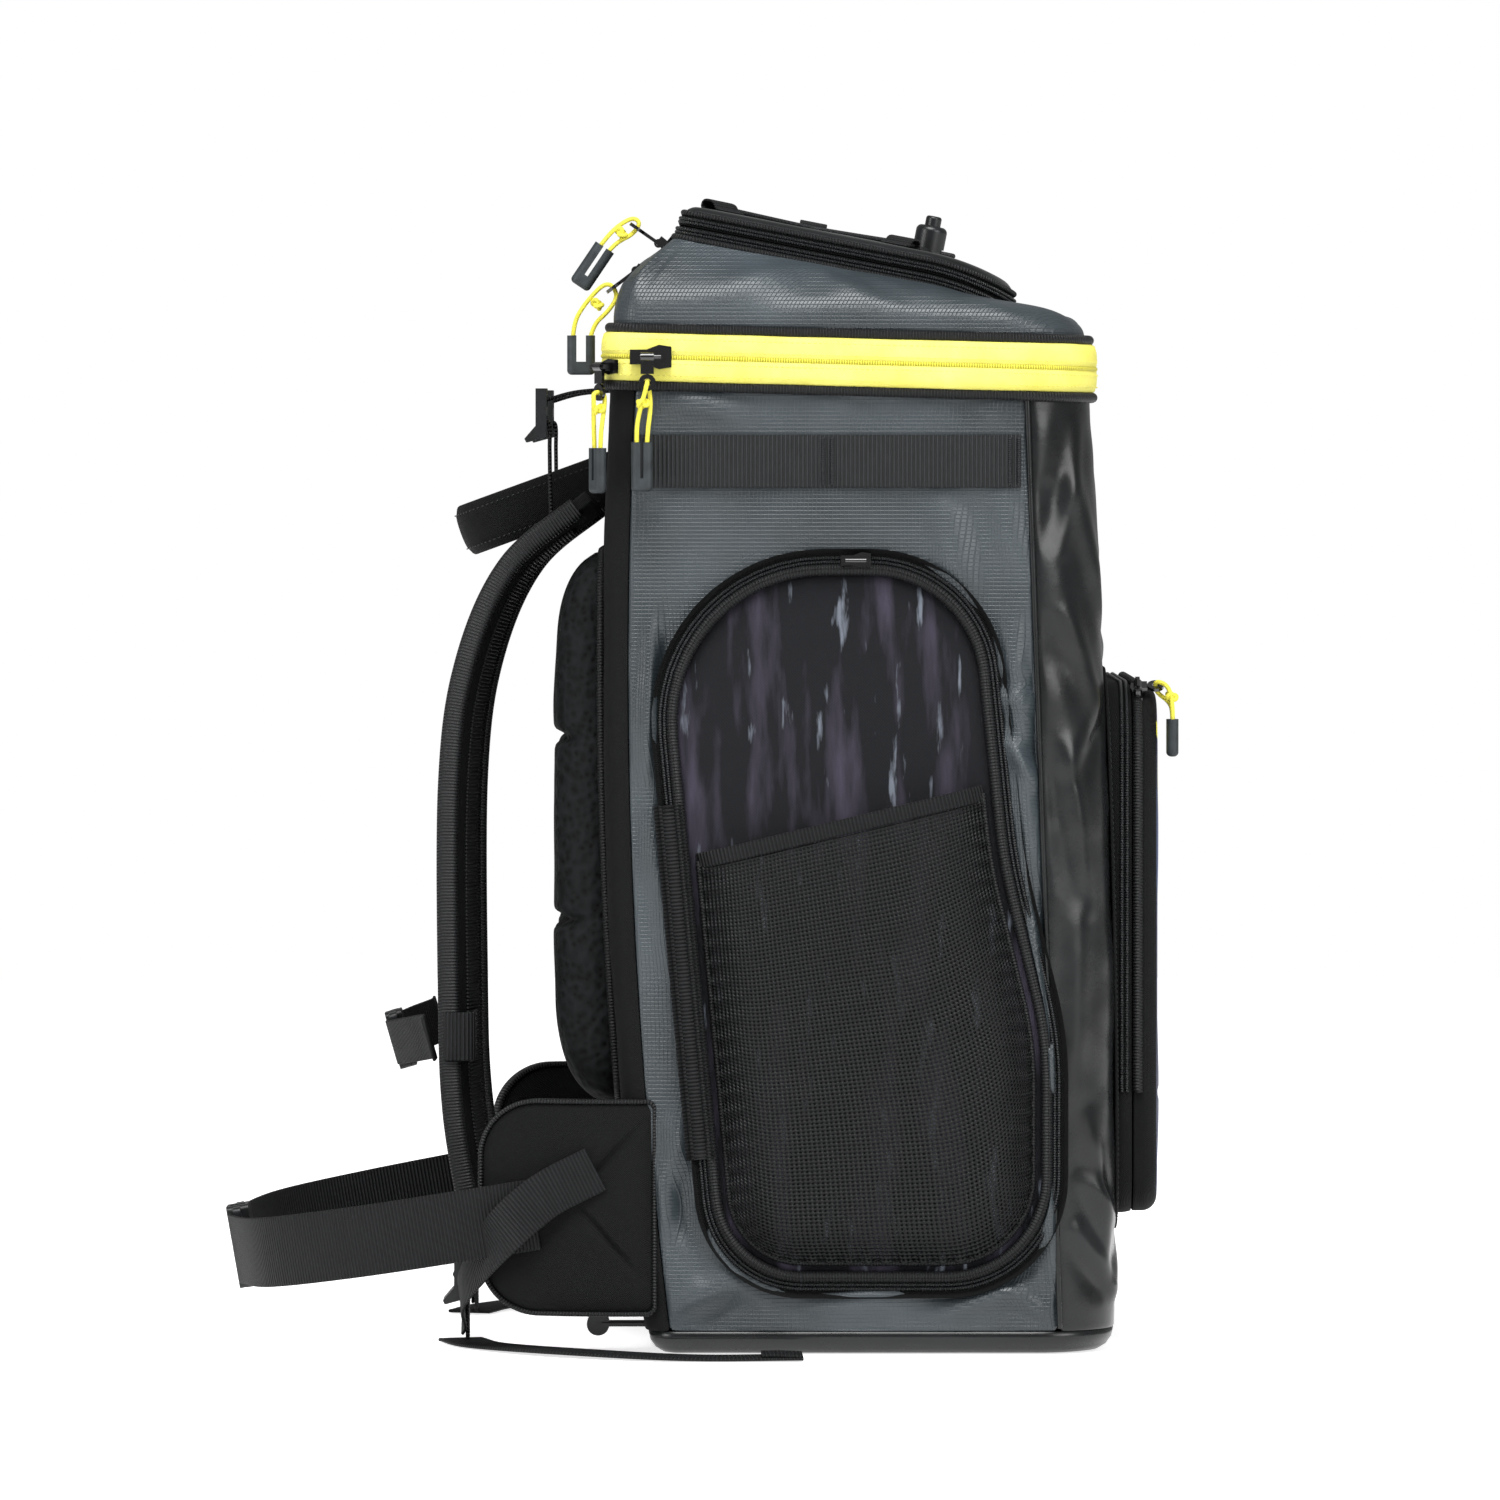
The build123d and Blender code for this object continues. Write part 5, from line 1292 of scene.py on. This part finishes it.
for number, (x, v, turn) in enumerate(((-76, 72, 30), (-9, 22, 0), (-80, -26, -20))):
    for side in (1, -1):
        aim = radians(side * turn)
        lie = Vector((cos(aim), sin(aim)))
        cross_lie = Vector((-sin(aim), cos(aim)))
        loop_line = []
        for a, w in tab_loop:
            spot = Vector((side * x, v)) + lie * a
            loop_line.append(on_crown(spot.x, spot.y, 16.6 + w))
        wide = Vector((cross_lie.x, 0, 0)) + crown_on * cross_lie.y
        loop_line = evenly(spline(loop_line, 60, closed=True), 44, closed=True)
        made = sweep(loop_line, flat_section(15, 1.3), wide, closed=True)
        tab_replaces = ["bungee_tabs"] if number == 0 and side > 0 else []
        name = f"bungee_tab_{number}_" + ("left" if side > 0 else "right")
        finish_piece(name, made, webbing_black, "flap", "webbing_black", tab_replaces)

# ---------------------------------------------------------------- front pouch
# The pouch is a shallow box of pack cloth sewn on the front by a stitched flange, with a printed face.
# Its face folds down at a crease near the foot; a coil zip with fat ribbed piping closes its other sides.
pouch_low, pouch_high = 72, 354
pouch_size = (140, pouch_low, pouch_high, 24, 38)
pouch_fold = 134


def pouch_ring(out, y):
    """Closed line round the pouch's front view, out from its edge, at one depth or hugging the sack."""

    def place(flat):
        return Vector((flat.x, front_y(flat.y) + y if y > -60 else y, flat.y))

    return ring_of(360, out, pouch_size, place)


def above_fold(ring):
    """The part of a closed line above the pouch's fold, as an open line."""
    kept = [at for at, here in enumerate(ring) if here.z > pouch_fold + 1]
    start = next(at for at in kept if ring[at - 1].z <= pouch_fold + 1)
    return [ring[(start + step) % len(ring)] for step in range(len(kept))]


def gusset_place(u, v):
    flat = plan_point(u, *pouch_size)
    start = front_y(flat.y) + 1
    depth = start + (-138.5 - start) * v
    out = Vector((flat.x, flat.y - 210)).normalized()
    swell = 1.4 * sin(pi * v) + 0.7 * mottle(flat.x + flat.y, depth * 2, 24, 81) * sin(pi * v)
    return Vector((flat.x + out.x * swell, depth, flat.y + out.y * swell))


made = grid(300, 10, gusset_place, (800, 16), core=Vector((0, -130, 210)), weld=True)
pouch_wall = finish_piece("pouch_wall", made, pack_cloth, "pack", "nylon_black", ["pouch_gusset"])
thicken(pouch_wall, 2.0)

flange_line = pouch_ring(4.6, -1.2)
swept(
    "pouch_flange", flange_line, flat_section(10, 1.6), outwards(flange_line, upright=True),
    pack_cloth, "pack", "nylon_black", closed=True
)
for row in (2.8, 7.2):
    line = pouch_ring(row, -2.2)
    name = f"flange_stitches_{round(row)}"
    stitches(name, line, Vector((0, -1, 0)), thread_black, "pack", "nylon_black", closed=True)

for number, depth in enumerate((-132.6, -135.4)):
    line = above_fold(pouch_ring(1.4, depth))
    swept(
        f"pouch_coil_{number}", line, round_section(1.25, 8), Vector((0, 1, 0)),
        coil_black, "pack", "coil_black"
    )

# pouch print: navy cloth with a few plain slanting bars of sky blue, white and lemon
pouch_print, tree, shader = new_material("pouch_print", "1d2745", 0.5)
spot = object_mm(tree)
axis = add_node(tree, "ShaderNodeSeparateXYZ", {0: spot}).outputs
slant = maths(tree, "ADD", maths(tree, "MULTIPLY", axis["X"], 0.8), maths(tree, "MULTIPLY", axis["Z"], 0.6))
tone_and_rib_shade = speckle(tree, spot, 40.0, 5.0)
ground = shaded(tree, shader, tone_and_rib_shade, 0.3, 0.7, "18203a", "26325a")
for low, high, code in ((150, 196, "4fa3c7"), (204, 212, "e9ecec"), (90, 98, "f1e93a"), (40, 72, "31456f")):
    past, short = maths(tree, "GREATER_THAN", slant, low), maths(tree, "LESS_THAN", slant, high)
    inside = maths(tree, "MULTIPLY", past, short)
    ground = tinted(tree, inside, ground, code)
tree.links.new(ground, shader.inputs["Base Color"])
weave = maths(tree, "MULTIPLY", ripple(tree, axis["X"], 0.9), ripple(tree, axis["Z"], 0.9))
dent(tree, shader, with_speckle(tree, weave, spot, 24.0, 5.0), 0.14)


def face_place(u, v):
    turn, out = square_turn(u, v)
    if out > 0.94:
        inset, depth = 0, -139 - 5 * (1 - out) / 0.06
    elif out > 0.84:
        bend = (0.94 - out) / 0.1 * pi / 2
        inset, depth = 8 * (1 - cos(bend)), -144 - 8 * sin(bend)
    else:
        inset, depth = 8, -152
    low_round, high_round = max(24 - inset, 4), max(38 - inset, 4)
    flat = plan_point(turn, 140 - inset, pouch_low + inset, pouch_high - inset, low_round, high_round)
    spread = out / 0.84 if out < 0.84 else 1
    x, z = Vector((0, 210)).lerp(flat, spread)
    dome = (2.6 * (1 - spread**3) + 1.4 * mottle(x, z, 60, 91)) * (1 - spread**8)
    crease = -0.9 * exp(-(((z - pouch_fold) / 2.4) ** 2)) * (1 - spread**8)
    return Vector((x, depth - dome - crease, z))


made = grid(120, 130, face_place, (290, 300), core=Vector((0, -120, 210)))
rim_faces = rim_of(made, (290, 300), 0.86)
pouch_front = finish_piece("pouch_front_cloth", made, pouch_print, None, "print_dark", ["pouch_face"])
second_finish(pouch_front, pack_cloth, rim_faces)
add_modifier(pouch_front, "SOLIDIFY", thickness=2.2 * mm, offset=-1)
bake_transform(pouch_front)
line = above_fold(pouch_ring(0.2, -141.2))
swept(
    "pouch_piping", line, round_section(2.7, 14), Vector((0, 1, 0)),
    piping_black, "pouch_front", "nylon_black"
)

# ---------------------------------------------------------------- side webbing
# Coarse webbing crosses each side below the band, held by three bar tacks so gear can hang from it.
webbing_coarse = ribbed("coarse_webbing", "101112", "090a0a", "202224", 0.55, 2.3, 0.45)
for side, hand in sides:
    line = []
    for step in range(121):
        y = -77.5 + 205 * step / 120
        bow = 1.6 * abs(sin(pi * (y + 74) / 99)) if -74 < y < 124 else 0
        line.append(Vector((side * (half - side_drop(y, 474) + 1.4 + bow), y, 474)))
    made = sweep(line, flat_section(2.0, 28, 0.8), Vector((side, 0, 0)))
    stands_for = for_pair("side_webbing", side)
    finish_piece("side_web_" + hand, made, webbing_coarse, "pack", "webbing_black", stands_for)
    for number, middle in enumerate((-74, 25, 124)):
        for offset in (-2.4, 2.4):
            rise = [Vector((side * (half + 2.6), middle + offset, 462 + step * 24 / 8)) for step in range(9)]
            outward = Vector((side, 0, 0))
            name = f"bar_tack_{number}_{'low' if offset < 0 else 'high'}_{hand}"
            tack = {"pitch": 1.0, "long": 1.1, "wide": 2.6}
            stitches(name, rise, outward, thread_black, "pack", "webbing_black", **tack)

# ---------------------------------------------------------------- back padding
# Two tall foam pads under knitted spacer mesh stand off the back on each side of the spine.
# Each is quilted by two sewn channels and edged with ribbed binding.

# spacer mesh: matte black knit with round dimples over the foam, each darkened towards its middle with
# painted shade
spacer_mesh, tree, shader = new_material("spacer_mesh", "090a0a", 0.75, 0.15)
spot = object_mm(tree)
cell_size = {"Vector": spot, "Scale": 1 / 4.2}
cells = add_node(tree, "ShaderNodeTexVoronoi", cell_size, feature="SMOOTH_F1").outputs[0]
dent(tree, shader, cells, 1.4)
# painted shade: the colour is darkest in the middle of each dimple
shaded(tree, shader, cells, 0.1, 0.6, "020202", "141617")


def pillow(columns, rows, place, span):
    """Closed cushion: place(u, v) gives its middle, its way out, and its swell outwards and inwards."""
    made = blank()
    layer = made.loops.layers.uv.verify()
    for sign in (1, -1):
        grown_grid = bmesh.ops.create_grid(made, x_segments=columns, y_segments=rows, size=0.5)["verts"]
        for vert in grown_grid:
            u, v = vert.co.x + 0.5, vert.co.y + 0.5
            for loop in vert.link_loops:
                loop[layer].uv = (u * span[0], v * span[1])
            middle, out, front, back = place(u, v)
            vert.co = middle + out * (front if sign > 0 else -back)
    bmesh.ops.remove_doubles(made, verts=made.verts, dist=0.02)
    bmesh.ops.recalc_face_normals(made, faces=made.faces)
    return made


def rounded_spread(u, v, half_width, low, high, low_round, high_round):
    """Point of a rounded rectangle filled from its middle, with how far out it lies."""
    turn, out = square_turn(u, v)
    edge = plan_point(turn, half_width, low, high, low_round, high_round)
    return Vector((0, (low + high) / 2)).lerp(edge, out), out


for side, hand in sides:

    def pad_place(u, v):
        flat, out = rounded_spread(u, v, 59, 128, 425, 26, 26)
        x, z = side * 74 + flat.x, flat.y
        depth = back_y(z) + 1
        plump = (1 - out**6) ** 0.5
        channel = sum(exp(-(((z - level) / 3.2) ** 2)) for level in (228, 326))
        front = (171.5 - depth) * plump * (1 - 0.3 * channel) + 0.8 * mottle(x, z, 30, 101) * plump
        return Vector((x, depth, z)), Vector((0, 1, 0)), front, 0.4 * plump

    made = pillow(70, 130, pad_place, (118, 297))
    stands_for = for_pair("back_pad", side)
    pad = finish_piece("back_padding_" + hand, made, spacer_mesh, "pack", "foam_black", stands_for)
    line = []
    for step in range(240):
        flat = plan_point(step / 240, 60, 127, 426, 27, 27)
        line.append(Vector((side * 74 + flat.x, back_y(flat.y) + 2.2, flat.y)))
    swept(
        "pad_piping_" + hand, line, round_section(2.2, 10), Vector((0, 1, 0)),
        piping_black, "pack", "nylon_black", closed=True
    )

# ---------------------------------------------------------------- grab handle
# The padded grab handle is a strap folded over foam into a loop, with webbing sewn along its underside.
handle_turn = radians(20)
handle_up = Vector((0, sin(handle_turn), cos(handle_turn)))
handle_out = Vector((0, cos(handle_turn), -sin(handle_turn)))


def on_handle(x, v):
    """Point of the handle's drooping plane."""
    return Vector((x, 138, 466)) + handle_out * v


handle_line = [on_handle(-55, v) for v in (0, 15, 30, 45, 56)]
handle_line += [on_handle(-55 + 26 * (1 - cos(a)), 60 + 26 * sin(a)) for a in (0.3, 0.7, 1.1, 1.45)]
handle_line += [on_handle(x, 86.6) for x in (-24, -12, 0, 12, 24)]
handle_line += [Vector((-point.x, point.y, point.z)) for point in reversed(handle_line[:9])]
handle_line = evenly(spline(handle_line, 300), 200)
handle_turns = [2 * pi * step / 28 for step in range(28)]
handle_section = [(14 * cos(a), (4.4 + 1.0 * cos(a) ** 2) * sin(a)) for a in handle_turns]
handle_section = [(a, b * (1 if abs(a) < 9 else 0.86)) for a, b in handle_section]
handle = swept(
    "handle_loop", handle_line, handle_section, handle_up,
    pack_cloth, "pack", "nylon_black", ["grab_handle"]
)
handle_middle = on_handle(0, 40)
inner_line = [point + (handle_middle - point).normalized() * 5.0 for point in handle_line[10:-10]]
swept(
    "handle_web", evenly(inner_line, 180), flat_section(25, 1.6), handle_up,
    webbing_black, "pack", "webbing_black"
)
for number, shift in enumerate((-9.5, 9.5)):
    sewn = handle_line[12:-12]
    line = [point - (handle_middle - point).normalized() * 4.6 + handle_up * shift for point in sewn]
    out = [-(handle_middle - point).normalized() for point in sewn]
    stitches(f"handle_stitches_{number}", line, out, thread_black, "pack", "nylon_black")

# ---------------------------------------------------------------- shoulder straps
# Each shoulder strap is foam between pack cloth and spacer mesh, bound all along both edges with ribbed tape.
strap_route = ((150, 452), (190, 418), (213, 366), (222, 300), (222, 180), (220, 128), (214, 88), (207, 56))
for side, hand in sides:
    line = evenly(spline([(side * 95, y, z) for y, z in strap_route], 300), 190)
    turns = [2 * pi * step / 36 for step in range(36)]
    flare = [(31 * cos(a), 6.3 * (1 - abs(cos(a)) ** 5 * 0.25) * sin(a)) for a in turns]
    section = [(max(min(a * 1.12, 30.5), -30.5), b) for a, b in flare]
    twist = Vector((1, side * 0.2, 0)).normalized()
    made = sweep(line, section, twist)
    stands_for = for_pair("shoulder_straps", side)
    strap = finish_piece("shoulder_pad_" + hand, made, pack_cloth, "pack", "foam_black", stands_for)
    for edge in (-1, 1):
        edge_line = [point + twist * edge * 27.8 for point in line[2:]]
        made = sweep(edge_line, flat_section(7.5, 11.6, 3.4, 4), twist)
        name = f"strap_binding_{'outer' if edge == side else 'inner'}_{hand}"
        finish_piece(name, made, piping_black, "pack", "webbing_black")
    centre_line = []
    for at, point in enumerate(line[8:-8]):
        run = line[at + 9] - line[at + 7]
        centre_line.append(point + Vector((0, -run.z, run.y)).normalized() * -6.6)
    swept(
        "strap_web_" + hand, evenly(centre_line, 170), flat_section(25, 1.6), twist,
        webbing_black, "pack", "webbing_black"
    )

# ---------------------------------------------------------------- load lifters and lower adjusters
# Webbing runs from the top of the back to the upper ladder locks, and from the hip wings to the lower ones.
# The free ends of the lower adjusters lie on the floor with their ends folded and sewn.


def web(name, points, wide, across, body="pack", replaces=(), thick=1.8, count=120):
    """Webbing along a smooth line through points."""
    line = evenly(spline(points, 260), count)
    if across is None:
        across = []
        for at, here in enumerate(line):
            run = line[min(at + 1, count - 1)] - line[max(at - 1, 0)]
            across.append(Vector((-run.y, run.x, 0)).normalized())
    made = sweep(line, flat_section(wide, thick), across)
    return finish_piece(name, made, webbing_black, body, "webbing_black", replaces)


for side, hand in sides:
    along_x = Vector((1, 0, 0))
    middle = side * 95
    lifter = [(middle, y, z) for y, z in ((137, 513), (160, 511), (178, 506))]
    web("lifter_web_" + hand, lifter, 25, along_x, replaces=for_pair("harness_webbing", side))
    drop_route = ((178.5, 495.5), (174, 494), (173.7, 480), (173.4, 460), (172.5, 438))
    drop = [(middle, y, z) for y, z in drop_route]
    web("lifter_drop_" + hand, drop, 25, along_x)
    adjuster = ((190, 148, 99), (191, 176, 84), (184, 200, 62), (146, 219, 34), (104, 220, 16))
    line = evenly(spline([(side * x, y, z) for x, y, z in adjuster], 200), 100)
    ways = (
        Vector((0, 0.55, 0.83)),
        Vector((0, 0.58, 0.82)),
        Vector((side * -0.45, 0.35, 0.82)),
        Vector((side * -0.82, 0.1, 0.56)),
        Vector((-side, 0, 0)),
    )
    across = []
    for at in range(100):
        share = at / 99 * 4
        part = min(int(share), 3)
        across.append(ways[part].lerp(ways[part + 1], share - part))
    swept(
        "adjuster_web_" + hand, line, flat_section(25, 1.8), across,
        webbing_black, "pack", "webbing_black"
    )
    tail = ((95, 222, 1.1), (140, 206, 1.3), (192, 160, 2.2), (218, 98, 1.2), (217, 38, 1.4))
    web("adjuster_tail_" + hand, [(side * x, y, z) for x, y, z in tail], 25, None)
    fold = [(side * x, y, z) for x, y, z in ((217.4, 60, 3.2), (217.2, 50, 3.3), (217, 38.5, 2.9))]
    web("tail_fold_" + hand, fold, 25.4, None, thick=1.6, count=16)
    lower = [(middle, 218, 2), (middle, 218, 12), (middle, 218, 24), (middle, 219, 37)]
    web("lower_web_" + hand, lower, 25, along_x, count=30)

# ---------------------------------------------------------------- hip wings
# A padded wing of pack cloth curves forward from each side of the foot, bound in ribbed tape along its edge.
wing_route = ((-181, 108), (-184, 135), (-179, 170), (-163, 206), (-157, 214))
wing_line = evenly(spline([Vector((x, y, 0)) for x, y in wing_route], 300), 400)


def wing_spot(y):
    """Middle and way out of the left hip wing at depth y."""
    at = min(range(1, 399), key=lambda step: abs(wing_line[step].y - y))
    run = (wing_line[at + 1] - wing_line[at - 1]).normalized()
    return wing_line[at].x, Vector((-run.y, run.x, 0))


wing_spots = {y: wing_spot(y) for y in range(100, 212)}


def wing_at(y):
    """Middle and way out of the left hip wing between the worked-out depths."""
    low = min(max(int(y), 100), 210)
    share = min(max(y - low, 0), 1)
    return (
        wing_spots[low][0] * (1 - share) + wing_spots[low + 1][0] * share,
        wing_spots[low][1].lerp(wing_spots[low + 1][1], share),
    )


for side, hand in sides:

    def wing_place(u, v):
        turn, out = square_turn(u, v)
        edge = plan_point(turn, 56, 117, 208, 4, 30)
        across, y = Vector((0, 162)).lerp(edge, out)
        z = 78 + across
        x, way = wing_at(y)
        plump = (1 - out**5) ** 0.5
        seam = creased(y, z, ((118, 128, 164, 80, 2.2, 1.0), (160, 84, 120, 36, 2.2, 1.0)))
        channel = 0.45 * max(seam, 0) * (1 - out**4)
        swell = (5.9 + 0.5 * mottle(y, z, 24, 111)) * plump * (1 - channel)
        return Vector((-side * x, y, z)), Vector((-side * way.x, way.y, 0)), swell, swell

    made = pillow(80, 80, wing_place, (112, 106))
    stands_for = for_pair("hip_wings", side)
    wing = finish_piece("hip_wing_" + hand, made, pack_cloth, "pack", "foam_black", stands_for)
    line, ways = [], []
    for step in range(260):
        edge = plan_point(step / 260, 56.4, 117, 208.4, 4.4, 30.4)
        x, way = wing_at(edge.y)
        line.append(Vector((-side * x, edge.y, 78 + edge.x)))
        ways.append(Vector((-side * way.x, way.y, 0)))
    swept(
        "wing_binding_" + hand, line, flat_section(7, 2.6, 1.2), ways,
        piping_black, "pack", "nylon_black", closed=True
    )

# ---------------------------------------------------------------- waist belt and sternum strap
# Both belts are ribbed webbing closed by side-release buckles; the sternum strap rides on elastic sleeves.


def belt_point(y, z, fall, x, forward):
    """Point of a belt that falls away from the sack."""
    turn = radians(fall)
    return Vector((x, y + forward * cos(turn), z - forward * sin(turn)))


def belt_normal(fall):
    """Direction of a belt's width."""
    return Vector((0, sin(radians(fall)), cos(radians(fall))))


waist_shape = ((-183.5, -20), (-175, 16), (-154, 78), (-110, 128))
waist_left = [*waist_shape, (-41.8, 147.1), (-33.8, 147.1)]
waist_right = [(-x, forward) for x, forward in waist_shape] + [(18.4, 147.1), (9.4, 147.1)]
sternum_shape = ((-112, 7.4), (-84, 8), (-60, 18.5))
sternum_left = [*sternum_shape, (-35, 29.1), (-27, 29.1)]
sternum_right = [(-x, forward) for x, forward in sternum_shape] + [(18.4, 29.1), (9.4, 29.1)]
for name, plan, wide, spot, fall, body, node in (
    ("waist_web_left", waist_left, 38, (200, 71), 9.9, "pack", ["belt_webbing_left"]),
    ("waist_web_right", waist_right, 38, (200, 71), 9.9, "waist_tongue", ["waist_strap_right"]),
    ("sternum_web_left", sternum_left, 25, (231.6, 166), 16, "pack", []),
    ("sternum_web_right", sternum_right, 25, (231.6, 166), 16, "sternum_tongue", ["sternum_strap_right"]),
):
    points = [belt_point(*spot, fall, x, forward) for x, forward in plan]
    web(name, points, wide, belt_normal(fall), body, node, count=160)

for side, hand in sides:
    outline = rounded(((-32.4, -8.3), (32.4, -8.3), (32.4, 8.3), (-32.4, 8.3)), (6,) * 4, 8)
    line = [Vector((side * 95 + point.x, 222.3 + point.y, 166)) for point in outline]
    made = sweep(evenly(line, 120, closed=True), flat_section(26, 2.0), Vector((0, 0, 1)), closed=True)
    stands_for = for_pair("sternum_sleeves", side)
    finish_piece("sternum_sleeve_" + hand, made, webbing_black, "pack", "webbing_black", stands_for)

# ---------------------------------------------------------------- inside the sack
# A moulded plastic sheet stiffens the back, and cloth walls part the two boot bays from the middle.
dress(acetal, "frame_sheet")
dress(pack_cloth, "boot_dividers")
